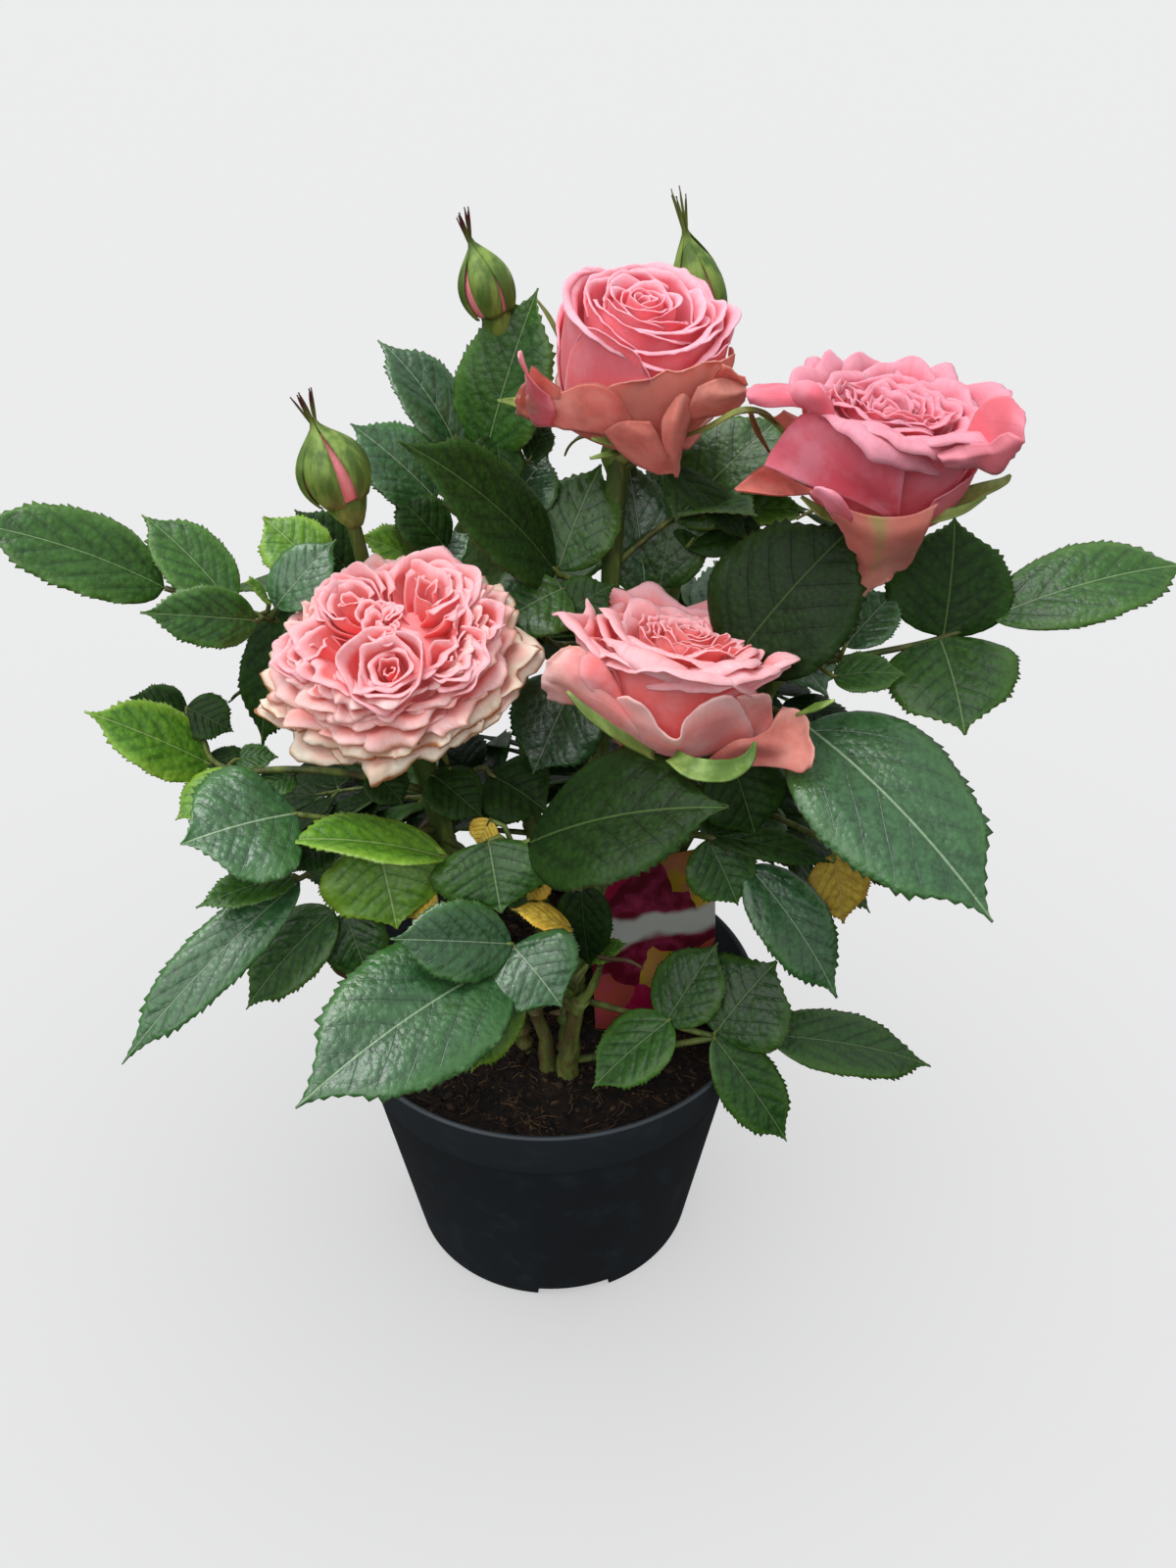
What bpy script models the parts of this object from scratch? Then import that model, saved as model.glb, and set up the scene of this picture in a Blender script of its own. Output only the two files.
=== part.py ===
"""Rose bush in a nursery pot: pot, potting mix, plant tag, canes, blooms, buds and
masses of foliage, each one closed solid. Metres, +Z up, flat underside at z = 0."""
import math

import bmesh
import bpy
from mathutils import Vector, noise

for old in list(bpy.data.objects):
    bpy.data.objects.remove(old)

MM = 0.001

# ---- driving sizes, millimetres -------------------------------------------------
RIM_R = 65.0
RIM_Z = 92.5
LIP = 0.7
COLLAR_R = 60.0
COLLAR_Z = 72.5
WALL_TOP_R = 58.8
BASE_R = 46.2
POT_WALL = 1.5
FLOOR_T = 4.2
NOTCHES = 4
NOTCH_FIRST = -80.5
NOTCH_W = 23.0
NOTCH_H = 3.5
NOTCH_DEPTH = 7.5
SLOT_W = 9.0
SLOT_IN = 38.5
SLOT_OUT = 43.0
POT_SEGMENTS = 40

SOIL_Z = 81.6
SOIL_RISE = 0.9
GAP = 0.35

TAG_W = 40.0
TAG_T = 0.7
TAG_TOP = 58.0
TAG_DEEP = 16.0
TAG_AT = (33.5, -6.0)
TAG_YAW = 18.0
TAG_LEAN = 8.0

CANE_SIDES = 7
CANE_FOOT_R = 3.9
CANE_TOP_R = 3.0
CANE_STEPS = 8

# name, foot x y on the mix, how it leans on the way, where it ends
CANES = [
    ("cane_front_bloom", (5, -27), (12, -23, 140), (30, -21, 198)),
    ("cane_left_bloom", (-7, -19), (-24, -19, 140), (-35, -20, 212)),
    ("cane_right_bloom", (20, 8), (52, 12, 165), (84, 4, 256)),
    ("cane_top_bloom", (8, -5), (15, 18, 165), (21, 37, 262)),
    ("cane_left_bud", (-9, -5), (-34, 4, 160), (-49, 0, 254)),
    ("cane_back_bud", (-2, 9), (-8, 38, 175), (-12, 45, 291)),
    ("cane_back_right_bud", (8, 20), (34, 54, 170), (47, 80, 279)),
]

# name, base centre, axis it faces, rows of (distance along axis, radius), lobes, seed
BLOOMS = [
    ("bloom_top", (21, 37, 253.5), (0.15, -0.25, 0.95),
     ((0, 4), (2, 17), (6, 33), (12, 36), (18, 30), (26, 25), (35, 24.5), (43, 21), (47.5, 12)), 5, 11),
    ("bloom_right", (85, 4, 248), (0.13, -0.05, 1.0),
     ((0, 5), (4, 17), (10, 28), (16, 34), (21, 37), (26, 36), (29, 31), (31, 22), (31, 10)), 5, 23),
    ("bloom_left", (-34, -17, 205), (-0.16, -0.44, 1.0),
     ((0, 5), (4, 20), (9, 32), (14, 37), (20, 37), (26, 34), (31, 28), (34, 20), (35, 9)), 6, 37),
    ("bloom_front", (30, -21, 191), (0.17, 0.16, 1.0),
     ((0, 5), (4, 17), (10, 28), (17, 34), (24, 36), (29, 34), (32, 29), (34, 20), (34.5, 9)), 5, 46),
]
BUDS = [
    ("bud_left", (-49, 0, 248), (-0.08, 0.0, 1.0),
     ((0, 3.4), (3, 6.5), (9, 8.8), (16, 8.2), (23, 5.2), (29, 2.6), (34, 1.1)), 3, 51),
    ("bud_back", (-12, 45, 285), (-0.25, 0.0, 1.0),
     ((0, 3.3), (3, 5.8), (8, 7.4), (14, 6.8), (20, 4.4), (25, 2.4), (30, 1.1)), 3, 57),
    ("bud_back_right", (47, 80, 273), (-0.28, 0.0, 1.0),
     ((0, 3.3), (3, 6), (10, 8.2), (17, 7.6), (25, 4.8), (32, 2.4), (38, 1.1)), 3, 63),
]

# name, spine points, half width, half thickness, side it faces, leaflet bulges, seed
MASSES = [
    ("foliage_far_left", ((-42, 4, 218), (-74, -6, 232), (-104, -12, 240), (-143, -20, 256)),
     31, 10, (0.1, -0.6, 1.0), 3, 101),
    ("foliage_far_right", ((66, -4, 205), (98, 2, 212), (126, 8, 216), (181, 20, 228)),
     31, 10, (0.0, -0.6, 1.0), 3, 102),
    ("foliage_left", ((-30, -12, 170), (-56, -14, 180), (-84, -22, 192), (-117, -30, 208)),
     27, 9, (-0.1, -0.5, 1.0), 3, 103),
    ("foliage_low_left", ((-22, -26, 142), (-52, -42, 168), (-78, -62, 164), (-107, -87, 141)),
     25, 8, (-0.3, -0.6, 1.0), 2, 104),
    ("foliage_lower_left", ((-20, -18, 124), (-42, -34, 140), (-60, -50, 142), (-86, -66, 130)),
     23, 8, (-0.3, -0.6, 1.0), 2, 105),
    ("foliage_front_left", ((9, -26, 122), (-3, -48, 148), (-24, -76, 156), (-58, -107, 146)),
     28, 8, (-0.1, -0.6, 1.0), 2, 106),
    ("foliage_front", ((-16, -34, 168), (4, -46, 180), (26, -54, 190), (49, -60, 197)),
     23, 7, (0.0, -0.7, 1.0), 1, 107),
    ("foliage_low_right", ((6, -26, 108), (34, -34, 112), (66, -38, 112), (121, -22, 74)),
     24, 8, (0.2, -0.7, 1.0), 3, 108),
    ("foliage_right", ((30, -8, 148), (46, -26, 164), (62, -42, 156), (82, -54, 128)),
     22, 8, (0.3, -0.6, 1.0), 2, 109),
    ("foliage_big_right", ((50, -2, 180), (72, -18, 198), (92, -40, 192), (117, -64, 164)),
     27, 8, (0.3, -0.6, 1.0), 2, 110),
    ("foliage_under_right_bloom", ((46, -8, 192), (60, -2, 214), (72, 10, 232), (90, 32, 246)),
     27, 9, (0.2, -0.8, 1.0), 2, 111),
    ("foliage_top_left", ((-8, 34, 212), (-17, 38, 240), (-27, 44, 264), (-38, 49, 288)),
     30, 9, (-0.4, -0.8, 0.7), 2, 112),
    ("foliage_upper_left", ((-14, 10, 214), (-24, 6, 232), (-32, 2, 248), (-38, -6, 276)),
     24, 8, (-0.1, -0.9, 0.5), 2, 113),
    ("foliage_centre", ((14, 12, 178), (8, 10, 200), (4, 4, 216), (4, 2, 232)),
     30, 14, (0.0, -0.8, 0.6), 2, 115),
    ("foliage_top_right", ((18, 28, 218), (38, 44, 236), (54, 54, 250), (78, 62, 268)),
     25, 9, (0.0, -0.7, 0.8), 2, 116),
    ("foliage_back_left", ((-14, 40, 188), (-44, 56, 206), (-72, 66, 214), (-108, 78, 208)),
     31, 11, (-0.2, 0.3, 1.0), 3, 117),
    ("foliage_back", ((4, 30, 184), (4, 62, 206), (4, 88, 208), (0, 122, 196)),
     32, 11, (0.0, 0.4, 1.0), 3, 118),
    ("foliage_back_right", ((32, 50, 180), (62, 58, 200), (88, 62, 206), (124, 68, 196)),
     31, 11, (0.2, 0.3, 1.0), 3, 119),
    ("foliage_back_low_left", ((-8, 24, 138), (-38, 38, 156), (-62, 52, 158), (-92, 62, 138)),
     28, 11, (-0.2, 0.4, 1.0), 2, 120),
    ("foliage_back_low", ((-6, 22, 128), (0, 48, 146), (2, 72, 150), (6, 104, 132)),
     28, 11, (0.0, 0.4, 1.0), 2, 121),
    ("foliage_back_low_right", ((22, 26, 138), (50, 34, 156), (74, 38, 158), (104, 40, 140)),
     28, 11, (0.2, 0.3, 1.0), 2, 122),
    ("foliage_left_inner", ((-26, 0, 142), (-44, 10, 160), (-66, 14, 168), (-98, 16, 158)),
     26, 10, (-0.2, 0.1, 1.0), 2, 123),
    ("foliage_right_inner", ((36, -8, 140), (54, 0, 156), (78, -2, 162), (108, -6, 150)),
     25, 9, (0.2, -0.2, 1.0), 2, 124),
]
RINGS = 8
AROUND = 9


def to_linear(hex_colour):
    """Colour of a material from the sRGB hex it is known by."""
    parts = [int(hex_colour[i:i + 2], 16) / 255.0 for i in (0, 2, 4)]
    return tuple(c / 12.92 if c <= 0.04045 else ((c + 0.055) / 1.055) ** 2.4 for c in parts) + (1.0,)


def material(name, hex_colour, roughness):
    """Plain Principled material."""
    made = bpy.data.materials.new(name)
    made.use_nodes = True
    shader = made.node_tree.nodes["Principled BSDF"]
    shader.inputs["Base Color"].default_value = to_linear(hex_colour)
    shader.inputs["Roughness"].default_value = roughness
    return made


POT_PLASTIC = material("pot_plastic", "34373A", 0.45)
PEAT = material("potting_mix", "2A1C14", 0.95)
TAG_PLASTIC = material("tag_plastic", "A8324E", 0.4)
CANE_SKIN = material("cane_skin", "6E8A4A", 0.6)
PETALS = material("petals", "F0C4C0", 0.6)
BUD_SKIN = material("bud_skin", "7E8C5A", 0.6)
LEAVES = material("leaves", "4C7A3C", 0.5)


def add_object(name, verts, faces, skin):
    """New object from millimetre points, normals out."""
    mesh = bpy.data.meshes.new(name)
    mesh.from_pydata([tuple(c * MM for c in v) for v in verts], [], faces)
    shape = bmesh.new()
    shape.from_mesh(mesh)
    bmesh.ops.recalc_face_normals(shape, faces=shape.faces)
    shape.to_mesh(mesh)
    shape.free()
    made = bpy.data.objects.new(name, mesh)
    made.data.materials.append(skin)
    bpy.context.scene.collection.objects.link(made)
    return made


def rings_to_solid(name, rings, start, end, skin):
    """Closed solid through rings of points, with a start and an end point."""
    count = len(rings[0])
    verts = [tuple(start)]
    faces = []
    for ring in rings:
        verts.extend(tuple(p) for p in ring)
    verts.append(tuple(end))
    last = len(verts) - 1
    for k in range(count):
        n = (k + 1) % count
        faces.append((0, 1 + n, 1 + k))
        for r in range(len(rings) - 1):
            a = 1 + r * count
            b = a + count
            faces.append((a + k, a + n, b + n))
            faces.append((a + k, b + n, b + k))
        tail = 1 + (len(rings) - 1) * count
        faces.append((tail + k, tail + n, last))
    return add_object(name, verts, faces, skin)


def spline(points, t):
    """Point on a smooth curve through the given points, t from 0 to 1."""
    pts = [Vector(p) for p in points]
    spans = len(pts) - 1
    at = min(t * spans, spans - 1e-6)
    i = int(at)
    u = at - i
    p0 = pts[i - 1] if i > 0 else pts[0] * 2 - pts[1]
    p1 = pts[i]
    p2 = pts[i + 1]
    p3 = pts[i + 2] if i + 2 <= spans else pts[spans] * 2 - pts[spans - 1]
    return 0.5 * (2 * p1 + (p2 - p0) * u + (2 * p0 - 5 * p1 + 4 * p2 - p3) * u * u
                  + (3 * p1 - p0 - 3 * p2 + p3) * u ** 3)


def frame_of(axis, facing):
    """Side and depth directions across an axis."""
    side = Vector(facing).cross(axis)
    side.normalize()
    depth = axis.cross(side)
    depth.normalize()
    return side, depth


def cane(name, foot, lean, end, grow):
    """Tapered stem from its flat cut on the mix to the flower it carries."""
    base = Vector((foot[0], foot[1], SOIL_Z + SOIL_RISE + 0.3))
    path = (base, Vector((foot[0] + (lean[0] - foot[0]) * 0.22, foot[1] + (lean[1] - foot[1]) * 0.22,
                          base.z + (lean[2] - base.z) * 0.38)), Vector(lean), Vector(end))
    rings = []
    for step in range(CANE_STEPS):
        t = step / (CANE_STEPS - 1)
        here = spline(path, t)
        ahead = spline(path, min(1.0, t + 0.02)) - spline(path, max(0.0, t - 0.02))
        ahead.normalize()
        if step == 0:
            ahead = Vector((0, 0, 1))
        side, depth = frame_of(ahead, (0, 1, 0.01))
        radius = CANE_FOOT_R + (CANE_TOP_R - CANE_FOOT_R) * t ** 0.7 + (0.9 if step == 0 else 0.0)
        radius += grow / math.cos(math.pi / CANE_SIDES)
        ring = []
        for k in range(CANE_SIDES):
            turn = 2 * math.pi * (k + 0.5) / CANE_SIDES
            ring.append(here + side * (radius * math.cos(turn)) + depth * (radius * math.sin(turn)))
        rings.append(ring)
    low = Vector((0, 0, -grow))
    high = ahead * grow
    rings[0] = [p + low for p in rings[0]]
    rings[-1] = [p + high for p in rings[-1]]
    return rings_to_solid(name, rings, spline(path, 0.0) + low, spline(path, 1.0) + high, CANE_SKIN)


def flower(name, base, axis, rows, lobes, seed, skin, grow):
    """Bloom or bud: a lobed, uneven solid standing on its stalk."""
    up = Vector(axis)
    up.normalize()
    side, depth = frame_of(up, (0, 1, 0))
    origin = Vector(base)
    rings = []
    for along, radius in rows:
        ring = []
        for k in range(AROUND + 2):
            turn = 2 * math.pi * k / (AROUND + 2)
            wave = noise.noise(Vector((math.cos(turn) * 1.6, math.sin(turn) * 1.6, seed + along * 0.05)))
            size = radius * (1.0 + 0.055 * math.cos(lobes * turn + seed + along * 0.03) + 0.10 * wave)
            drop = -0.05 * radius * math.cos(lobes * turn + seed)
            ring.append(origin + up * (along + drop) + side * ((size + grow) * math.cos(turn))
                        + depth * ((size + grow) * math.sin(turn)))
        rings.append(ring)
    top = origin + up * (rows[-1][0] + 1.2 + grow)
    bottom = origin - up * (1.2 + grow)
    return rings_to_solid(name, rings, bottom, top, skin)


def leafy_mass(name, spine, half_width, half_thick, facing, bulges, seed, grow):
    """Mass of leaves along a shoot: flat, uneven, widest where leaflets spread."""
    rings = []
    for step in range(RINGS):
        t = (step + 0.35) / (RINGS - 0.3)
        here = spline(spine, t)
        ahead = spline(spine, min(1.0, t + 0.03)) - spline(spine, max(0.0, t - 0.03))
        ahead.normalize()
        side, depth = frame_of(ahead, facing)
        swell = max(0.16, math.sin(math.pi * min(1.0, 0.06 + 0.94 * t)) ** 0.62)
        swell *= 0.86 + 0.16 * math.cos(2 * math.pi * (bulges * t - 0.35))
        ring = []
        for k in range(AROUND):
            turn = 2 * math.pi * k / AROUND
            spot = Vector((math.cos(turn) * 1.3, math.sin(turn) * 1.3, seed * 1.7 + step * 0.55))
            rough = 1.0 + 0.42 * noise.noise(spot)
            wide = half_width * swell * rough + grow
            thick = half_thick * (0.55 + 0.45 * swell) * (1.0 + 0.5 * noise.noise(spot * 1.7)) + grow
            if step in (0, RINGS - 1):
                thick = thick * 0.5
            ring.append(here + side * (wide * math.cos(turn)) + depth * (thick * math.sin(turn)))
        rings.append(ring)
    start = spline(spine, 0.0)
    end = spline(spine, 1.0)
    if grow:
        start = start + (start - spline(spine, 0.03)).normalized() * grow
        end = end + (end - spline(spine, 0.97)).normalized() * grow
    return rings_to_solid(name, rings, start, end, LEAVES)


def revolved(name, profile, skin):
    """Closed profile of (radius, height) pairs that starts and ends on the axis."""
    rings = []
    for radius, height in profile[1:-1]:
        ring = []
        for k in range(POT_SEGMENTS):
            turn = 2 * math.pi * k / POT_SEGMENTS
            ring.append((radius * math.cos(turn), radius * math.sin(turn), height))
        rings.append(ring)
    return rings_to_solid(name, rings, (0, 0, profile[0][1]), (0, 0, profile[-1][1]), skin)


def box(name, size, place, turn, skin):
    """Box of three sizes, centred at a place, turned about Z."""
    verts = []
    for z in (-0.5, 0.5):
        for y in (-0.5, 0.5):
            for x in (-0.5, 0.5):
                px = x * size[0]
                py = y * size[1]
                verts.append((place[0] + px * math.cos(turn) - py * math.sin(turn),
                              place[1] + px * math.sin(turn) + py * math.cos(turn),
                              place[2] + z * size[2]))
    faces = [(0, 1, 3, 2), (4, 6, 7, 5), (0, 4, 5, 1), (2, 3, 7, 6), (0, 2, 6, 4), (1, 5, 7, 3)]
    return add_object(name, verts, faces, skin)


def bounds_of(thing):
    """Lowest and highest corner of an object's mesh."""
    pts = [v.co for v in thing.data.vertices]
    low = Vector((min(p.x for p in pts), min(p.y for p in pts), min(p.z for p in pts)))
    high = Vector((max(p.x for p in pts), max(p.y for p in pts), max(p.z for p in pts)))
    return low, high


def boxes_meet(first, second):
    """True where the two objects' boxes overlap."""
    a_low, a_high = bounds_of(first)
    b_low, b_high = bounds_of(second)
    return all(a_low[i] < b_high[i] and b_low[i] < a_high[i] for i in range(3))


def keep_largest(thing):
    """Drop chips left by a cut, tidy slivers, and close the record of the mesh."""
    shape = bmesh.new()
    shape.from_mesh(thing.data)
    bmesh.ops.triangulate(shape, faces=shape.faces)
    seen = set()
    groups = []
    for vert in shape.verts:
        if vert in seen:
            continue
        stack = [vert]
        seen.add(vert)
        group = []
        while stack:
            here = stack.pop()
            group.append(here)
            for edge in here.link_edges:
                other = edge.other_vert(here)
                if other not in seen:
                    seen.add(other)
                    stack.append(other)
        groups.append(group)
    groups.sort(key=len, reverse=True)
    for group in groups[1:]:
        bmesh.ops.delete(shape, geom=group, context="VERTS")
    open_edges = sum(1 for e in shape.edges if len(e.link_faces) != 2)
    volume = shape.calc_volume(signed=True)
    if volume < 0:
        bmesh.ops.reverse_faces(shape, faces=shape.faces)
    shape.to_mesh(thing.data)
    count = len(shape.faces)
    shape.free()
    return len(groups), open_edges, abs(volume), count


def cut(thing, cutters):
    """Take every cutter that meets the object away from it."""
    used = 0
    for cutter in cutters:
        if not boxes_meet(thing, cutter):
            continue
        change = thing.modifiers.new("cut", "BOOLEAN")
        change.operation = "DIFFERENCE"
        change.solver = "EXACT"
        change.object = cutter
        graph = bpy.context.evaluated_depsgraph_get()
        result = bpy.data.meshes.new_from_object(thing.evaluated_get(graph))
        thing.modifiers.clear()
        if len(result.vertices) > 3:
            thing.data = result
            used += 1
    return used


# ---- pot ------------------------------------------------------------------------
inner_floor = BASE_R - POT_WALL
pot = revolved("pot", (
    (0, 0), (BASE_R - 0.8, 0), (BASE_R, 0.8), (WALL_TOP_R, COLLAR_Z), (COLLAR_R, COLLAR_Z + 0.4),
    (RIM_R - 0.2, RIM_Z - 1.6), (RIM_R, RIM_Z - 0.6), (RIM_R - LIP, RIM_Z),
    (RIM_R - POT_WALL - 0.2, RIM_Z - 0.5),
    (COLLAR_R - POT_WALL + 0.1, COLLAR_Z + 1.4), (WALL_TOP_R - POT_WALL, COLLAR_Z - 0.6),
    (inner_floor + 0.9, FLOOR_T), (0, FLOOR_T)), POT_PLASTIC)
notch_tools = []
for n in range(NOTCHES):
    turn = math.radians(NOTCH_FIRST + n * 360.0 / NOTCHES)
    middle = BASE_R - NOTCH_DEPTH / 2 + 3.0
    notch_tools.append(box("notch", (NOTCH_DEPTH + 6.0, NOTCH_W, NOTCH_H * 2),
                           (middle * math.cos(turn), middle * math.sin(turn), 0), turn, POT_PLASTIC))
    across = (SLOT_IN + SLOT_OUT) / 2
    notch_tools.append(box("slot", (SLOT_OUT - SLOT_IN, SLOT_W, 20),
                           (across * math.cos(turn), across * math.sin(turn), 0), turn, POT_PLASTIC))
cut(pot, notch_tools)

# ---- potting mix ----------------------------------------------------------------
mix_rings = []
floor_r = inner_floor + 0.9 - GAP - 0.2
for radius, height in ((floor_r, FLOOR_T + GAP), (WALL_TOP_R - POT_WALL - GAP, COLLAR_Z - 1.0),
                       (COLLAR_R - POT_WALL + 0.1 - GAP - 0.1, COLLAR_Z + 1.7)):
    mix_rings.append([(radius * math.cos(2 * math.pi * k / POT_SEGMENTS),
                       radius * math.sin(2 * math.pi * k / POT_SEGMENTS), height)
                      for k in range(POT_SEGMENTS)])
slope = (RIM_R - 1.7 - (COLLAR_R - POT_WALL)) / (RIM_Z - COLLAR_Z - 1.9)
top_r = COLLAR_R - POT_WALL + slope * (SOIL_Z - COLLAR_Z - 1.4) - GAP - 0.15
for share, rise in ((1.0, 0.0), (0.76, 0.9)):
    ring = []
    for k in range(POT_SEGMENTS):
        turn = 2 * math.pi * k / POT_SEGMENTS
        x = top_r * share * math.cos(turn)
        y = top_r * share * math.sin(turn)
        lump = 0.5 * noise.noise(Vector((x * 0.09, y * 0.09, 3.0))) * (1.0 - rise)
        ring.append((x, y, SOIL_Z + SOIL_RISE * rise + lump))
    mix_rings.append(ring)
potting_mix = rings_to_solid("potting_mix", mix_rings, (0, 0, FLOOR_T + GAP),
                             (0, 0, SOIL_Z + SOIL_RISE), PEAT)


def tag(name, grow):
    """Printed card on a pointed stake, pushed into the mix and leaning back."""
    half = TAG_W / 2
    outline = [(-half, 2.0), (-5.0, -3.0), (0.0, -TAG_DEEP), (5.0, -3.0), (half, 2.0),
               (half, TAG_TOP - 2.5), (half - 2.5, TAG_TOP), (-half + 2.5, TAG_TOP), (-half, TAG_TOP - 2.5)]
    yaw = math.radians(TAG_YAW)
    lean = math.radians(TAG_LEAN)
    across = Vector((math.cos(yaw), math.sin(yaw), 0))
    out = Vector((math.sin(yaw), -math.cos(yaw), 0))
    rise = Vector((-out.x * math.sin(lean), -out.y * math.sin(lean), math.cos(lean)))
    face = across.cross(rise).normalized()
    if face.dot(out) < 0:
        face = -face
    origin = Vector((TAG_AT[0], TAG_AT[1], SOIL_Z + SOIL_RISE))
    middle = Vector((0.0, TAG_TOP * 0.4))
    verts = []
    for depth in (-0.5, 0.5):
        for u, v in outline:
            away = Vector((u, v)) - middle
            away.normalize()
            u2 = u + away.x * grow * 1.5
            v2 = v + away.y * grow * 1.5
            verts.append(origin + across * u2 + rise * v2 + face * (depth * (TAG_T + 2 * grow)))
    n = len(outline)
    faces = [tuple(range(n)), tuple(range(2 * n - 1, n - 1, -1))]
    for k in range(n):
        faces.append((k, (k + 1) % n, n + (k + 1) % n, n + k))
    return add_object(name, verts, faces, TAG_PLASTIC)


plant_tag = tag("plant_tag", 0.0)
tag_tool = tag("tag_tool", GAP)
cut(potting_mix, [tag_tool])

# ---- canes, blooms, buds, foliage ------------------------------------------------
tools = [tag_tool]
made = [pot, potting_mix, plant_tag]
for name, foot, lean, end in CANES:
    made.append(cane(name, foot, lean, end, 0.0))
    tools.append(cane(name + "_tool", foot, lean, end, GAP))
for rows_of, skin in ((BUDS, BUD_SKIN), (BLOOMS, PETALS)):
    for name, base, axis, rows, lobes, seed in rows_of:
        head = flower(name, base, axis, rows, lobes, seed, skin, 0.0)
        cut(head, tools)
        made.append(head)
        tools.append(flower(name + "_tool", base, axis, rows, lobes, seed, skin, GAP))
rim_guard = revolved("rim_guard", ((0, 1), (BASE_R + GAP, 1), (RIM_R + 0.8, RIM_Z - 4), (RIM_R + 0.8, RIM_Z + 0.6),
                                   (RIM_R - 2, RIM_Z + 0.6), (0, RIM_Z + 0.6)), POT_PLASTIC)
tools.append(rim_guard)
for name, spine, wide, thick, facing, bulges, seed in MASSES:
    mass = leafy_mass(name, spine, wide, thick, facing, bulges, seed, 0.0)
    cut(mass, tools)
    made.append(mass)
    tools.append(leafy_mass(name + "_tool", spine, wide, thick, facing, bulges, seed, GAP))

total = 0
for thing in made:
    groups, open_edges, volume, count = keep_largest(thing)
    total += count
    print("%-28s islands %d open %d volume %.1f cm3 triangles %d" % (
        thing.name, groups, open_edges, volume * 1e6, count))
print("triangles", total)
for tool in tools + notch_tools:
    if tool.name in bpy.data.objects:
        bpy.data.objects.remove(tool)
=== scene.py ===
"""Potted rose bush: nursery pot, potting mix, plant label, thorny canes, leaves, blooms and buds."""
import math
from collections import namedtuple

import bpy
import numpy as np
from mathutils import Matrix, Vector, noise


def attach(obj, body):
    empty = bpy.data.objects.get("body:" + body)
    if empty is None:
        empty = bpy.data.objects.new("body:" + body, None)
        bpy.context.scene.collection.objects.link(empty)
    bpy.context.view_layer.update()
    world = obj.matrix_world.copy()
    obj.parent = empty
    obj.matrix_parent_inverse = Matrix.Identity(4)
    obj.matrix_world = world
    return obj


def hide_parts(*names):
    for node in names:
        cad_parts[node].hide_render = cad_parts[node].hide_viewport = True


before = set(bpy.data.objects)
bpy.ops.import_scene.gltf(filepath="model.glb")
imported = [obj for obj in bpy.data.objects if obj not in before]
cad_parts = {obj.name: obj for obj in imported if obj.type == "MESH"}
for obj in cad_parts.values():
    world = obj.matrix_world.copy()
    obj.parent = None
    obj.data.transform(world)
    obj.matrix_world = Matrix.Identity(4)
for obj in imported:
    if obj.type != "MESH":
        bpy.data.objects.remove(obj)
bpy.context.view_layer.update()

MM = 0.001

# the vector noise that crinkles petals starts from a fixed seed
NOISE_SEED = 7
noise.seed_set(NOISE_SEED)

# ---- camera ---------------------------------------------------------------------
CAMERA_AT = np.array((12.0, -346.0, 398.0))
CAMERA_PITCH = math.radians(33.67)
PICTURE = (1200, 1600)
FOCAL_PIXELS = 1485.0
SENSOR = 36.0

FORWARD = np.array((0.0, math.cos(CAMERA_PITCH), -math.sin(CAMERA_PITCH)))
UPWARD = np.array((0.0, math.sin(CAMERA_PITCH), math.cos(CAMERA_PITCH)))
RIGHT = np.array((1.0, 0.0, 0.0))
UP = np.array((0.0, 0.0, 1.0))

# ---- light ----------------------------------------------------------------------
SKY = 0.84
SKY_LOW = "3C3C3C"
SKY_LEVEL = "C8C9CA"
SKY_HIGH = "F6FAFF"
KEY = 1.85
FRONT = 1.2
FLOOR_GLOW = 0.43
FLOOR_SIZE = 60.0
FLOOR_DROP = 0.0002
PAPER = "CBC9C7"
WHITE = "FFFFFF"


def make_camera():
    """Camera that looks down on the bush from the front."""
    lens = bpy.data.cameras.new("camera")
    lens.sensor_width = SENSOR
    lens.lens = FOCAL_PIXELS * SENSOR / max(PICTURE)
    lens.clip_start = 0.01
    holder = bpy.data.objects.new("camera", lens)
    holder.location = Vector(CAMERA_AT * MM)
    holder.rotation_euler = (math.pi / 2 - CAMERA_PITCH, 0, 0)
    bpy.context.scene.collection.objects.link(holder)
    bpy.context.scene.camera = holder


def at(px, py, depth):
    """Point in millimetres that shows at a picture place, where the world's Y is depth."""
    look = FORWARD + RIGHT * (px - PICTURE[0] / 2) / FOCAL_PIXELS
    look = look + UPWARD * (PICTURE[1] / 2 - py) / FOCAL_PIXELS
    return CAMERA_AT + look * (depth - CAMERA_AT[1]) / look[1]


# ---- materials ------------------------------------------------------------------
MATH = "ShaderNodeMath"
MIX = "ShaderNodeMix"
RANGE = "ShaderNodeMapRange"
NOISE = "ShaderNodeTexNoise"
SPLIT = "ShaderNodeSeparateXYZ"
CARRIED = "ShaderNodeAttribute"
COORDS = "ShaderNodeTexCoord"
STRETCH = "ShaderNodeMapping"
BUMP = "ShaderNodeBump"
# a Range node runs from 0 at its low end to its share at its high end; eased, it does so smoothly
EASED = {"interpolation_type": "SMOOTHSTEP"}
# makes a Mix node mix colours
TINTS = {"data_type": "RGBA"}
# green streak on a guard petal
PETAL_STREAK = "9AA45C"
# a noise pattern's scale times the width of its grains
GRAIN = 0.6


def linear(hex_colour):
    """sRGB hex colour as linear values."""
    parts = [int(hex_colour[i:i + 2], 16) / 255.0 for i in (0, 2, 4)]
    return tuple(c / 12.92 if c <= 0.04045 else ((c + 0.055) / 1.055) ** 2.4 for c in parts) + (1.0,)


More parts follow.
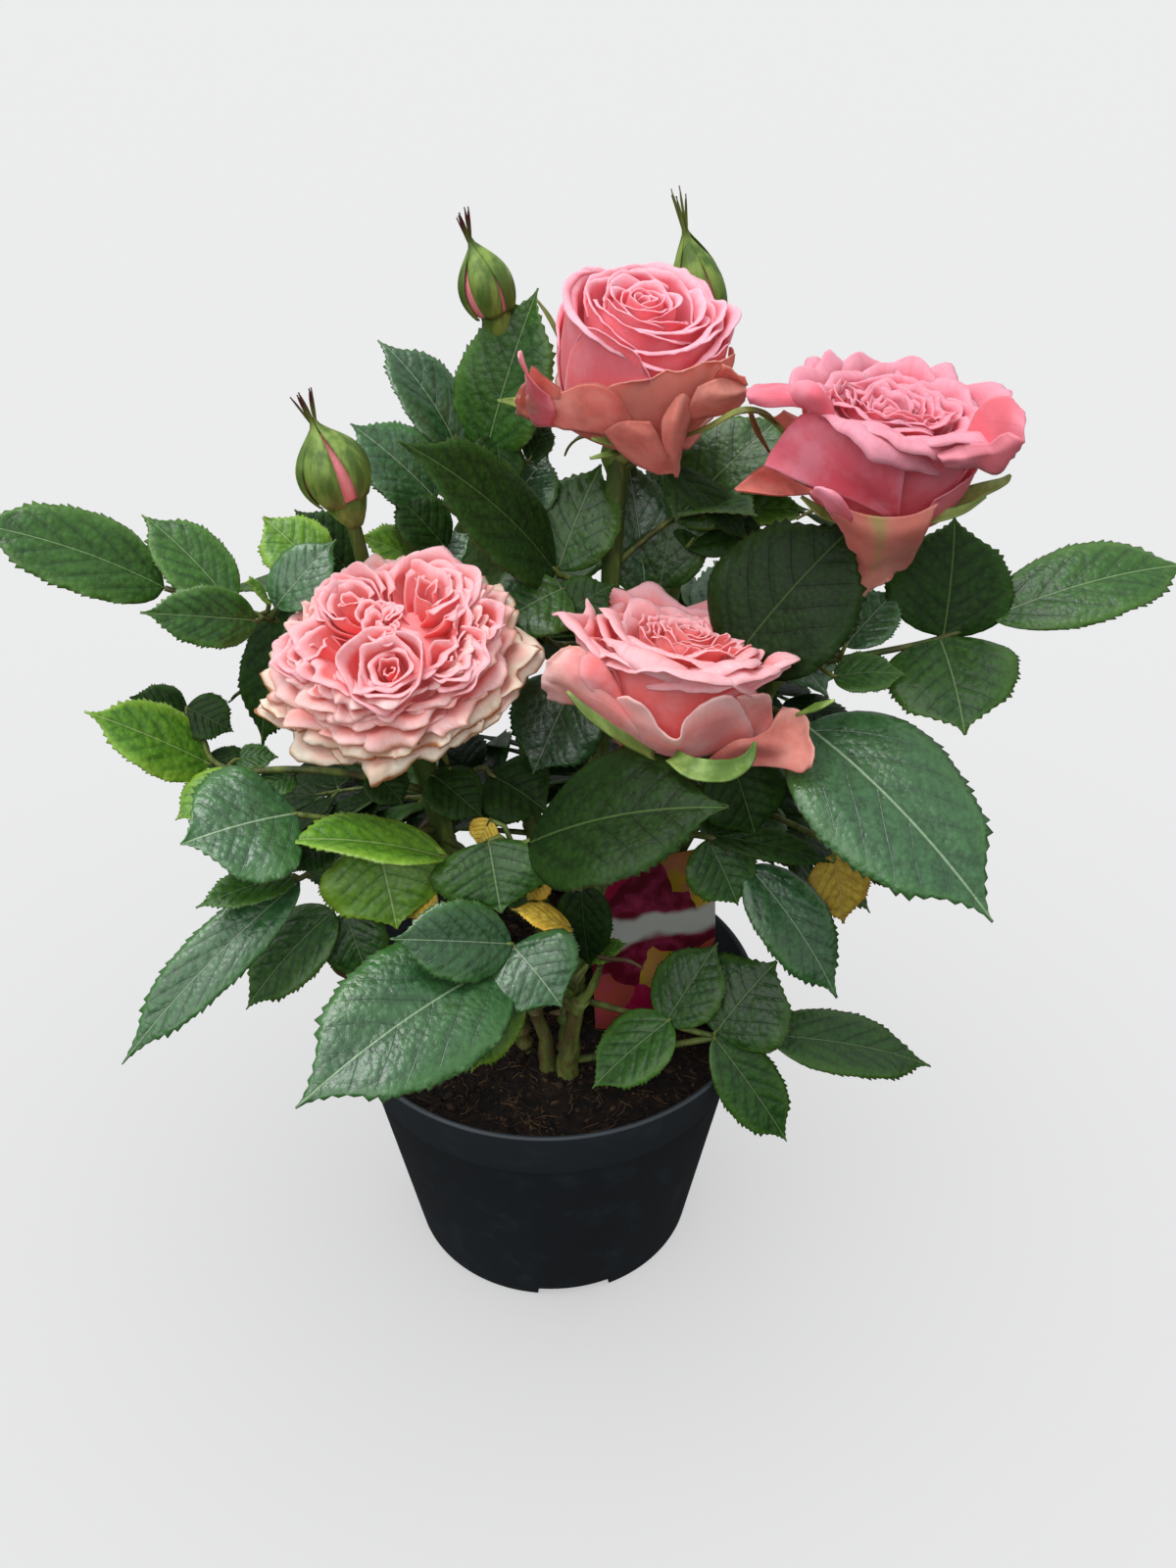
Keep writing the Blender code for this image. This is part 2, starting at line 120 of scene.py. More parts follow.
def feed(tree, target, inputs):
    """Sets or links a node's inputs. Each is a value, a socket to link from, or a node, which gives its
    first output, or its colour where it mixes colours."""
    for key, value in inputs.items():
        if isinstance(value, bpy.types.Node):
            value = value.outputs[2 if value.bl_idname == MIX else 0]
        if isinstance(value, bpy.types.NodeSocket):
            tree.links.new(value, target.inputs[key])
        else:
            target.inputs[key].default_value = value


def add(tree, kind, inputs=None, **settings):
    """Adds one node with its settings and what it is fed."""
    made = tree.nodes.new(kind)
    for key, value in settings.items():
        setattr(made, key, value)
    feed(tree, made, inputs or {})
    return made


def start(name, **values):
    """New material and its shader, with plain values set on the shader's own sockets."""
    made = bpy.data.materials.new(name)
    made.use_nodes = True
    shader = made.node_tree.nodes["Principled BSDF"]
    feed(made.node_tree, shader, {key.replace("_", " "): value for key, value in values.items()})
    return made, made.node_tree, shader


def leaf_skin(name, deep, face, vein, under, edge, rough, gloss, margin="3E1E1A"):
    """Rose leaf: waxy, finely pitted upper side, yellower to its ends, a pale midrib, side veins in low
    troughs, a thin reddish margin, and a duller, paler underside; painted shade darkens the side veins,
    their troughs and the fold beside the midrib."""
    made, tree, shader = start(name, IOR=1.5, Specular_IOR_Level=gloss)
    place = add(tree, COORDS).outputs["Object"]
    mottle = add(tree, NOISE, {"Vector": place, "Scale": GRAIN / (1.4 * MM), "Detail": 3.0, "Roughness": 0.7})
    clouds = add(tree, NOISE, {"Vector": place, "Scale": GRAIN / (14 * MM), "Detail": 1.0, "Roughness": 0.55})
    pads = add(tree, "ShaderNodeTexVoronoi", {"Vector": place, "Scale": 1 / (1.8 * MM)})
    # across is 0 on the midrib and grows with distance from it, along is 0 at the stalk and 1 at the tip,
    # out is 0 on the midrib and 1 on the margin
    uv = add(tree, SPLIT, {0: add(tree, "ShaderNodeUVMap")})
    across = add(tree, MATH, {0: uv, 1: 2.0, 2: -1.0}, operation="MULTIPLY_ADD")
    across = add(tree, MATH, {0: across}, operation="ABSOLUTE")
    along = uv.outputs["Y"]
    out = add(tree, CARRIED, attribute_name="flush").outputs["Fac"]
    # off_vein is 0 on a side vein and 0.5 midway between two
    swept = add(tree, MATH, {0: across, 1: VEIN_CURVE}, operation="POWER")
    swept = add(tree, MATH, {0: swept, 1: -VEIN_SWEEP, 2: along}, operation="MULTIPLY_ADD")
    swept = add(tree, MATH, {0: clouds, 1: 0.09, 2: swept}, operation="MULTIPLY_ADD")
    wave = add(tree, MATH, {0: swept, 1: VEINS}, operation="MULTIPLY")
    wave = add(tree, MATH, {0: wave}, operation="FRACT")
    off_vein = add(tree, MATH, {0: wave, 1: 0.5}, operation="SUBTRACT")
    off_vein = add(tree, MATH, {0: off_vein}, operation="ABSOLUTE")
    fading = add(tree, RANGE, {0: out, 1: 1.0, 2: 0.6}, **EASED)
    side_vein = add(tree, RANGE, {0: off_vein, 1: 0.032, 2: 0.0, 4: fading}, **EASED)
    trough = add(tree, RANGE, {0: off_vein, 1: 0.34, 2: 0.0, 4: fading}, **EASED)
    mid_vein = add(tree, RANGE, {0: across, 1: 0.024, 2: 0.008}, **EASED)
    beside = add(tree, RANGE, {0: across, 1: 0.12, 2: 0.02}, **EASED)
    painted_groove_shade = add(tree, MATH, {0: trough, 1: beside}, operation="MAXIMUM")
    margin_end = add(tree, RANGE, {0: out, 1: 0.62, 2: 1.0}, **EASED)
    tip_end = add(tree, RANGE, {0: along, 1: 0.80, 2: 1.0}, **EASED)
    ends = add(tree, MATH, {0: margin_end, 1: tip_end}, operation="MAXIMUM")
    colour = add(tree, RANGE, {0: mottle, 1: 0.20, 2: 0.66}, **EASED)
    colour = add(tree, MIX, {0: colour, 6: linear(deep), 7: linear(face)}, **TINTS)
    # each layer: what it follows, where it begins and is full, its share, eased or straight, its colour
    for value, low, high, share, ease, tint in (
            (pads, 0.30, 0.75, 0.30, EASED, deep), (clouds, 0.40, 0.62, 0.14, EASED, edge),
            # painted shade: the troughs round the side veins and the fold beside the midrib, then the thin
            # side veins, darkened towards the deep green
            (painted_groove_shade, 0, 1, 0.40, {}, deep), (side_vein, 0, 1, 0.36, {}, deep),
            (mid_vein, 0, 1, 0.55, {}, vein), (ends, 0, 1, 0.4, {}, edge),
            (out, 0.972, 1.0, 0.6, EASED, margin)):
        cover = add(tree, RANGE, {0: value, 1: low, 2: high, 4: share}, **ease)
        colour = add(tree, MIX, {0: cover, 6: colour, 7: linear(tint)}, **TINTS)
    # tone scales the whole leaflet; on listed leaflets deep in the crown and under the blooms its low values
    # are painted shade
    tone = add(tree, CARRIED, attribute_name="tone").outputs["Fac"]
    shade = add(tree, "ShaderNodeCombineColor", {0: tone, 1: tone, 2: tone})
    colour = add(tree, MIX, {0: 1.0, 6: colour, 7: shade}, blend_type="MULTIPLY", **TINTS)
    below = add(tree, CARRIED, attribute_name="under").outputs["Fac"]
    colour = add(tree, MIX, {0: below, 6: colour, 7: linear(under)}, **TINTS)
    height = mottle
    for dent, depth in ((mid_vein, 0.6), (trough, 0.45), (side_vein, 0.35), (pads, 0.9)):
        height = add(tree, MATH, {0: dent, 1: -depth, 2: height}, operation="MULTIPLY_ADD")
    bump = add(tree, BUMP, {"Height": height, "Distance": 0.34 * MM, "Strength": 0.7})
    wax = add(tree, MATH, {0: mottle, 1: 0.4, 2: rough - 0.18}, operation="MULTIPLY_ADD")
    feed(tree, shader, {"Base Color": colour, "Roughness": wax, "Normal": bump})
    return made


def petal_skin(name, heart, face, lip, edge, outside, edge_share):
    """Rose petal: thin, velvety and partly lit through, deeper at its foot, paler on its rolled lip,
    with fine veins along it; older petals brown along their edges. A faint painted glow in its own
    colour lifts the shade between petals."""
    made, tree, shader = start(
        name, Roughness=0.55, IOR=1.38, Sheen_Weight=0.06, Sheen_Roughness=0.5, Subsurface_Weight=0.4,
        Subsurface_Scale=0.0025, Subsurface_Radius=(1.0, 0.35, 0.30), Specular_IOR_Level=0.3,
        Emission_Strength=0.05)
    place = add(tree, COORDS).outputs["Object"]
    blush = add(tree, NOISE, {"Vector": place, "Scale": GRAIN / (6 * MM), "Detail": 3.0, "Roughness": 0.55})
    flecks = add(
        tree, NOISE, {"Vector": place, "Scale": GRAIN / (0.9 * MM), "Detail": 4.0, "Roughness": 0.65})
    spots = add(tree, NOISE, {"Vector": place, "Scale": GRAIN / (5 * MM), "Detail": 4.0, "Roughness": 0.6})
    uv = add(tree, "ShaderNodeUVMap")
    drawn_out = add(tree, STRETCH, {"Vector": uv, "Scale": (30, 1.4, 1)})
    streaks = add(tree, NOISE, {"Vector": drawn_out, "Scale": 1.0, "Detail": 3.0})
    # across is 0 in the middle and 1 at the sides, along is 0 at the foot and 1 at the lip
    split = add(tree, SPLIT, {0: uv})
    along = split.outputs["Y"]
    across = add(tree, MATH, {0: split, 1: 2.0, 2: -1.0}, operation="MULTIPLY_ADD")
    across = add(tree, MATH, {0: across}, operation="ABSOLUTE")
    lip_rim = add(tree, RANGE, {0: along, 1: 0.70, 2: 0.95}, **EASED)
    side_rim = add(tree, RANGE, {0: across, 1: 0.9, 2: 1.0, 4: 0.6}, **EASED)
    rim = add(tree, MATH, {0: lip_rim, 1: side_rim}, operation="MAXIMUM")
    below = add(tree, CARRIED, attribute_name="under").outputs["Fac"]
    colour = add(tree, RANGE, {0: along, 1: 0.05, 2: 0.62}, **EASED)
    colour = add(tree, MIX, {0: colour, 6: linear(heart), 7: linear(face)}, **TINTS)
    # each layer: what it follows, where it begins and is full, its share, eased or straight, its colour
    for value, low, high, share, ease, tint in (
            (rim, 0, 1, 0.85, {}, lip), (streaks, 0.45, 0.75, 0.18, EASED, heart),
            (flecks, 0.48, 0.72, 0.20, EASED, outside), (blush, 0.42, 0.66, 0.42, EASED, lip),
            (below, 0, 1, 0.4, {}, outside)):
        cover = add(tree, RANGE, {0: value, 1: low, 2: high, 4: share}, **ease)
        colour = add(tree, MIX, {0: cover, 6: colour, 7: linear(tint)}, **TINTS)
    lip_edge = add(tree, RANGE, {0: along, 1: 0.93, 2: 1.0}, **EASED)
    side_edge = add(tree, RANGE, {0: across, 1: 0.94, 2: 1.0}, **EASED)
    near_edge = add(tree, MATH, {0: lip_edge, 1: side_edge}, operation="MAXIMUM")
    stain = add(tree, RANGE, {0: spots, 1: 0.42, 2: 0.62, 4: 0.4}, **EASED)
    worn = add(tree, MATH, {0: near_edge, 1: stain}, operation="ADD")
    age = add(tree, CARRIED, attribute_name="tone").outputs["Fac"]
    worn = add(tree, MATH, {0: worn, 1: age}, operation="MULTIPLY", use_clamp=True)
    worn = add(tree, MATH, {0: worn, 1: edge_share}, operation="MULTIPLY")
    colour = add(tree, MIX, {0: worn, 6: colour, 7: linear(edge)}, **TINTS)
    green = add(tree, CARRIED, attribute_name="flush").outputs["Fac"]
    green = add(tree, MATH, {0: green, 1: 0.8}, operation="MULTIPLY")
    colour = add(tree, MIX, {0: green, 6: colour, 7: linear(PETAL_STREAK)}, **TINTS)
    height = add(tree, MATH, {0: flecks, 1: 0.5, 2: streaks}, operation="MULTIPLY_ADD")
    bump = add(tree, BUMP, {"Height": height, "Distance": 0.22 * MM, "Strength": 0.45})
    # the emission is a faint painted glow in the petal's own colour
    feed(tree, shader, {"Base Color": colour, "Emission Color": colour, "Normal": bump})
    return made


def green_skin(name, deep, face, tip, rough=0.45, size=5.0, patches=0.0):
    """Young green skin of canes, stalks, hips and sepals, flushed red-brown where tone says so, with
    corky patches on old wood."""
    made, tree, shader = start(name, Roughness=rough, IOR=1.42)
    place = add(tree, COORDS).outputs["Object"]
    drawn_out = add(tree, STRETCH, {"Vector": place, "Scale": (1, 1, 0.22)})
    streaks = add(
        tree, NOISE, {"Vector": drawn_out, "Scale": GRAIN / (size * MM), "Detail": 4.0, "Roughness": 0.55})
    drawn_out = add(tree, STRETCH, {"Vector": place, "Scale": (1, 1, 0.5)})
    cork = add(
        tree, NOISE, {"Vector": drawn_out, "Scale": GRAIN / (3.2 * MM), "Detail": 4.0, "Roughness": 0.65})
    tone = add(tree, CARRIED, attribute_name="tone").outputs["Fac"]
    old = add(tree, RANGE, {0: tone, 1: 0.02, 2: 0.2, 4: patches}, **EASED)
    cork = add(tree, RANGE, {0: cork, 1: 0.46, 2: 0.60, 4: old}, **EASED)
    colour = add(tree, RANGE, {0: streaks, 1: 0.38, 2: 0.66}, **EASED)
    colour = add(tree, MIX, {0: colour, 6: linear(deep), 7: linear(face)}, **TINTS)
    for share in (cork, tone):
        colour = add(tree, MIX, {0: share, 6: colour, 7: linear(tip)}, **TINTS)
    height = add(tree, MATH, {0: streaks, 1: cork}, operation="ADD")
    bump = add(tree, BUMP, {"Height": height, "Distance": 0.25 * MM, "Strength": 0.8})
    feed(tree, shader, {"Base Color": colour, "Normal": bump})
    return made


def moulded_plastic():
    """Black polypropylene pot: satin, faintly orange-peeled, dusted with dry mix, with painted light on its
    collar and a painted highlight along the edge of its lip.
    """
    made, tree, shader = start("moulded_polypropylene", IOR=1.49, Specular_IOR_Level=0.4)
    place = add(tree, COORDS).outputs["Object"]
    upright = add(tree, STRETCH, {"Vector": place, "Scale": (1, 1, 0.12)})
    dust = add(tree, NOISE, {"Vector": place, "Scale": GRAIN / (7 * MM), "Detail": 5.0, "Roughness": 0.65})
    scuffs = add(
        tree, NOISE, {"Vector": upright, "Scale": GRAIN / (3 * MM), "Detail": 3.0, "Roughness": 0.55})
    peel = add(tree, NOISE, {"Vector": place, "Scale": GRAIN / (0.9 * MM), "Detail": 3.0, "Roughness": 0.55})
    height = add(tree, SPLIT, {0: place}).outputs["Z"]
    colour = add(tree, RANGE, {0: dust, 1: 0.5, 2: 0.75}, **EASED)
    colour = add(tree, MIX, {0: colour, 6: linear("23282C"), 7: linear("31383E")}, **TINTS)
    # scuffs, then painted light on the collar, which catches more light, then a painted highlight along the
    # edge of the lip
    for value, low, high, share, tint in (
            (scuffs, 0.6, 0.8, 0.3, "2A3034"), (height, 72.2 * MM, 73.2 * MM, 0.35, "3A4248"),
            (height, 91.2 * MM, 92.2 * MM, 0.5, "3E474D")):
        cover = add(tree, RANGE, {0: value, 1: low, 2: high, 4: share}, **EASED)
        colour = add(tree, MIX, {0: cover, 6: colour, 7: linear(tint)}, **TINTS)
    rough = add(tree, MATH, {0: dust, 1: 0.25, 2: 0.3}, operation="MULTIPLY_ADD")
    bump = add(tree, BUMP, {"Height": peel, "Distance": 0.06 * MM, "Strength": 0.5})
    feed(tree, shader, {"Base Color": colour, "Roughness": rough, "Normal": bump})
    return made


def moist_peat():
    """Moist peat and bark fines: near black with brown crumbs, rough."""
    made, tree, shader = start("moist_peat", Roughness=0.9, IOR=1.4)
    place = add(tree, COORDS).outputs["Object"]
    crumbs = add(tree, NOISE, {"Vector": place, "Scale": GRAIN / (1.6 * MM), "Detail": 6.0, "Roughness": 0.7})
    clods = add(tree, NOISE, {"Vector": place, "Scale": GRAIN / (6 * MM), "Detail": 3.0, "Roughness": 0.55})
    colour = add(tree, RANGE, {0: crumbs, 1: 0.42, 2: 0.7}, **EASED)
    colour = add(tree, MIX, {0: colour, 6: linear("0C0806"), 7: linear("2E1E14")}, **TINTS)
    cover = add(tree, RANGE, {0: clods, 1: 0.55, 2: 0.75, 4: 0.5}, **EASED)
    colour = add(tree, MIX, {0: cover, 6: colour, 7: linear("3A281C")}, **TINTS)
    tone = add(tree, CARRIED, attribute_name="tone").outputs["Fac"]
    colour = add(tree, MIX, {0: tone, 6: colour, 7: linear("7A5C40")}, **TINTS)
    bump = add(tree, BUMP, {"Height": crumbs, "Distance": 0.9 * MM, "Strength": 0.9})
    feed(tree, shader, {"Base Color": colour, "Normal": bump})
    return made


def printed_card():
    """Printed polypropylene label: loose painted blotches in crimson, magenta and yellow, with one
    pale band, under a satin film."""
    made, tree, shader = start("printed_polypropylene", Roughness=0.45, IOR=1.49, Specular_IOR_Level=0.25)
    place = add(tree, COORDS).outputs["Object"]
    swirl = add(tree, NOISE, {"Vector": place, "Scale": 60.0, "Detail": 2.0}).outputs["Color"]
    bent = add(
        tree, "ShaderNodeVectorMath", {0: swirl, 1: (12 * MM, 12 * MM, 12 * MM), 2: place},
        operation="MULTIPLY_ADD")
    cells = add(tree, "ShaderNodeTexVoronoi", {"Vector": bent, "Scale": 1 / (17 * MM)})
    pick = add(tree, "ShaderNodeSeparateColor", {0: cells.outputs["Color"]})
    folds = add(tree, NOISE, {"Vector": place, "Scale": GRAIN / (3.2 * MM), "Detail": 3.0, "Roughness": 0.55})
    colour = add(tree, RANGE, {0: pick, 1: 0.30, 2: 0.34}, **EASED)
    colour = add(tree, MIX, {0: colour, 6: linear("C4104E"), 7: linear("D8BE1C")}, **TINTS)
    height = add(tree, SPLIT, {0: bent}).outputs["Z"]
    pale = add(tree, RANGE, {0: height, 1: 118 * MM, 2: 120.5 * MM}, **EASED)
    # each layer: what it follows, where it begins and is full, its share, its colour
    for value, low, high, share, tint in (
            (pick, 0.58, 0.62, 1.0, "6E0A24"), (folds, 0.4, 0.7, 0.45, "D84A80"),
            (cells, 0.0, 0.7, 0.4, "3A0814"), (height, 128.5 * MM, 126 * MM, pale, "C8CCC4")):
        cover = add(tree, RANGE, {0: value, 1: low, 2: high, 4: share}, **EASED)
        colour = add(tree, MIX, {0: cover, 6: colour, 7: linear(tint)}, **TINTS)
    feed(tree, shader, {"Base Color": colour})
    return made


def studio_paper():
    """Matt pale grey paper sweep."""
    made, _, _ = start(
        "studio_paper", Roughness=0.95, Base_Color=linear(PAPER), Specular_IOR_Level=0.1,
        Emission_Color=linear(WHITE), Emission_Strength=FLOOR_GLOW)
    return made


# ---- mesh gathering -------------------------------------------------------------
class Gather:
    """Points, faces and what they carry, joined into one piece."""

    def __init__(self):
        self.points = []
        self.faces = []
        self.uvs = []
        self.tones = []
        self.unders = []
        self.flushes = []
        self.slots = []
        self.count = 0

    def take(self, points, faces, uvs=None, tone=0.0, under=None, slot=0, flush=0.0):
        """Adds a closed shape given in millimetres."""
        points = np.asarray(points, dtype=float)
        size = len(points)
        self.points.append(points * MM)
        self.faces.extend(tuple(int(k) + self.count for k in face) for face in faces)
        self.uvs.append(np.zeros((size, 2)) if uvs is None else uvs)
        self.tones.append(np.broadcast_to(tone, size).astype(float))
        self.unders.append(np.zeros(size) if under is None else under)
        self.flushes.append(np.broadcast_to(flush, size).astype(float))
        self.slots.extend([slot] * len(faces))
        self.count += size

    def finish(self, name, skins):
        """Makes the piece, with its place in its mesh."""
        mesh = bpy.data.meshes.new(name)
        mesh.from_pydata(np.concatenate(self.points).tolist(), [], self.faces)
        mesh.update()
        for skin in skins:
            mesh.materials.append(skin)
        loops = np.zeros(len(mesh.loops), dtype=np.int32)
        mesh.loops.foreach_get("vertex_index", loops)
        layer = mesh.uv_layers.new(name="UVMap")
        layer.data.foreach_set("uv", np.concatenate(self.uvs)[loops].ravel())
        for label, values in (("tone", self.tones), ("under", self.unders), ("flush", self.flushes)):
            extra = mesh.attributes.new(label, "FLOAT", "POINT")
            extra.data.foreach_set("value", np.concatenate(values))
        mesh.polygons.foreach_set("material_index", np.array(self.slots, dtype=np.int32))
        mesh.polygons.foreach_set("use_smooth", np.ones(len(mesh.polygons), dtype=bool))
        made = bpy.data.objects.new(name, mesh)
        bpy.context.scene.collection.objects.link(made)
        return made


def hand_over(piece, slot, *nodes):
    """Rides the piece on the plant and hides the parts that it stands in for; slot is not used."""
    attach(piece, "root")
    if nodes:
        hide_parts(*nodes)


def unit(v):
    """Vector of length one."""
    v = np.asarray(v, dtype=float)
    return v / max(1e-9, np.linalg.norm(v))


def compass(turn):
    """Cosine and sine of a turn in degrees."""
    return math.cos(math.radians(turn)), math.sin(math.radians(turn))


def spline(points, t):
    """Point on a smooth curve through the given points, t from 0 to 1."""
    pts = [np.asarray(p, dtype=float) for p in points]
    spans = len(pts) - 1
    place = min(max(t, 0.0) * spans, spans - 1e-6)
    i = int(place)
    u = place - i
    p1 = pts[i]
    p2 = pts[i + 1]
    p0 = pts[i - 1] if i > 0 else 2 * p1 - p2
    p3 = pts[i + 2] if i + 2 <= spans else 2 * p2 - p1
    return 0.5 * (2 * p1 + (p2 - p0) * u + (2 * p0 - 5 * p1 + 4 * p2 - p3) * u * u
                  + (3 * p1 - p0 - 3 * p2 + p3) * u ** 3)


def shell(grid, thick, places=None):
    """Closed thin sheet from a grid of points (rows, columns, 3): points, faces, uvs, underside mask.
    places holds the across and along of each column and row, or they are even."""
    rows, cols = grid.shape[:2]
    down = np.gradient(grid, axis=0)
    over = np.gradient(grid, axis=1)
    normal = np.cross(over, down)
    length = np.linalg.norm(normal, axis=2, keepdims=True)
    lower = grid - normal / np.maximum(length, 1e-9) * thick
    even = np.meshgrid(np.linspace(0, 1, cols), np.linspace(0, 1, rows))
    u, v = even if places is None else places
    uv = np.stack((u.ravel(), v.ravel()), axis=1)
    points = np.concatenate((grid.reshape(-1, 3), lower.reshape(-1, 3)))
    size = rows * cols
    faces = []
    for i in range(rows - 1):
        for j in range(cols - 1):
            a = i * cols + j
            face = (a, a + 1, a + cols + 1, a + cols)
            faces.append(face)
            faces.append(tuple(k + size for k in face[::-1]))
    edge = list(range(cols)) + [i * cols + cols - 1 for i in range(1, rows)]
    edge += [(rows - 1) * cols + j for j in range(cols - 2, -1, -1)] + [
        i * cols for i in range(rows - 2, 0, -1)]
    for k, a in enumerate(edge):
        b = edge[(k + 1) % len(edge)]
        faces.append((b, a, a + size, b + size))
    under = np.concatenate((np.zeros(size), np.ones(size)))
    return points, faces, np.concatenate((uv, uv)), under


def tube(path, radii, sides=8, rough=0.0, seed=0.0):
    """Closed tapering tube along points in millimetres."""
    path = np.asarray(path, dtype=float)
    count = len(path)
    rings = []
    side = None
    for i in range(count):
        ahead = unit(path[min(i + 1, count - 1)] - path[max(i - 1, 0)])
        if side is None:
            side = unit(np.cross(ahead, (0.3, 1.0, 0.1)))
        side = unit(side - ahead * side.dot(ahead))
        other = np.cross(ahead, side)
        ring = []
        for k in range(sides):
            turn = 2 * math.pi * k / sides
            wide = radii[i]
            if rough:
                spot = Vector((math.cos(turn) * 1.4, math.sin(turn) * 1.4, seed + i * 0.35))
                wide *= 1.0 + rough * noise.noise(spot)
            ring.append(path[i] + side * (wide * math.cos(turn)) + other * (wide * math.sin(turn)))
        rings.append(ring)
    points = [p for ring in rings for p in ring] + [path[0], path[-1]]
    faces = []
    for i in range(count - 1):
        for k in range(sides):
            n = (k + 1) % sides
            faces.append((i * sides + k, i * sides + n, (i + 1) * sides + n, (i + 1) * sides + k))
    first = count * sides
    last = (count - 1) * sides
    for k in range(sides):
        n = (k + 1) % sides
        faces.append((first, n, k))
        faces.append((first + 1, last + k, last + n))
    return np.array(points), faces


# ---- leaves ---------------------------------------------------------------------
# stalk and point: picture x, picture y and world Y of a leaflet's two ends; width in mm; roll turns
# the blade about its midrib, in degrees; fold lifts its halves; arch bows it; skin is its green
# tone scales a leaflet's colour: partly its own lighter or darker green, partly painted shade, lowest on
# leaflets deep in the crown and under the blooms
Leaflet = namedtuple(
    "Leaflet", "stalk point width roll skin fold arch tone", defaults=(0, "mid", 14, 0.07, 1.0))
GREENS = ("deep", "mid", "blue", "fresh", "ochre")
DEFAULT_FACING = unit((0.0, -0.42, 0.9))
TEETH = 24
HIDDEN_TEETH = 13
LEAF_THICK = 0.3
# how far a blade's edges rise and fall, as a share of its width
WAVE = 0.02
# side veins: how many to a side, how far they run forward from midrib to margin, and how they curve
VEINS = 6.0
VEIN_SWEEP = 0.40
VEIN_CURVE = 1.15


def blade(base, tip, width, roll, fold, arch, facing=DEFAULT_FACING, seed=0.0, teeth=TEETH, columns=13):
    """Grid of points of one toothed, folded, arched leaflet, and the across and along of each point and
    its share of the way from the midrib to the margin."""
    base = np.asarray(base, dtype=float)
    tip = np.asarray(tip, dtype=float)
    length = np.linalg.norm(tip - base)
    axis = (tip - base) / max(length, 1e-6)
    normal = unit(facing - axis * axis.dot(facing))
    side = np.cross(axis, normal)
    turn = math.radians(roll)
    normal, side = (
        normal * math.cos(turn) + side * math.sin(turn), side * math.cos(turn) - normal * math.sin(turn))
    rows = 2 * teeth + 3
    v = np.linspace(0, 1, rows)
    u = np.sin(np.linspace(-math.pi / 2, math.pi / 2, columns)) * 0.4 + np.linspace(-1, 1, columns) * 0.6
    swell = np.maximum(v, 1e-4) ** (0.58 + 0.06 * math.sin(seed * 9))
    outline = 2.65 * swell * np.maximum(1 - v, 1e-4) ** 0.83
    taper = np.clip((v - 0.70) / 0.30, 0, 1)
    outline *= 1 - 0.78 * taper * taper * (3 - 2 * taper)
    half = np.maximum(outline * width / 2, 0.15)
    V = np.repeat(v[:, None], columns, axis=1)
    U = np.repeat(u[None, :], rows, axis=0)
    H = np.repeat(half[:, None], columns, axis=1)
    odd = (np.arange(rows) % 2).astype(float)
    odd[0] = 0
    odd[-1] = 0
    margin = (np.abs(U) > 0.999).astype(float)
    uneven = 0.85 + 0.5 * np.sin(np.arange(rows) * 2.39 + seed * 7)
    tooth = (odd * uneven)[:, None] * margin * np.clip(6 * V, 0, 1) * np.clip(5 * (1 - V), 0.2, 1)
    jag = 0.32 + 0.011 * width
    wide = np.abs(U) * outline[:, None]
    places = (0.5 + 0.5 * U * outline[:, None], V, np.abs(U))
    H = H + jag * tooth
    V = np.clip(V + tooth * 0.9 / rows, 0, 1)
    bend = math.radians(fold)
    across = np.abs(U) * H
    wobble = math.sin(seed * 3.1) * 0.5
    lift = across * math.sin(bend) * (1 - 0.45 * np.abs(U))
    lift += arch * length * 4 * V * (1 - V)
    lift -= 0.10 * H * U ** 4
    lift += WAVE * width * np.sin(2 * math.pi * (1.7 * V + seed)) * U ** 2
    lift += WAVE * width * wobble * np.sin(2 * math.pi * (2.9 * V + 0.3 * U + seed)) * np.abs(U)
    swept = V - VEIN_SWEEP * wide ** VEIN_CURVE
    quilt = np.abs(np.sin(math.pi * swept * VEINS + math.pi / 2)) * np.clip(np.abs(U) * 4, 0, 1) * (
        1 - U ** 4)
    lift += (0.0045 + 0.0025 * math.sin(seed * 4.1)) * width * min(1.0, width / 30) * quilt
    sway = math.sin(seed * 5.3) * 0.05 * length * (V - 0.5) ** 2
    flat = U * H * math.cos(bend * 0.6)
    grid = (
        base + axis * (V * length)[..., None] + side * (flat + sway)[..., None] + normal * lift[..., None])
    return grid, places


def take_leaf(gather, leaf, skin, tone):
    """Adds one leaflet to a spray."""
    grid, (across, along, out) = leaf
    points, faces, uvs, under = shell(grid, LEAF_THICK, (across, along))
    gather.take(points, faces, uvs, tone, under, GREENS.index(skin), np.tile(out.ravel(), 2))


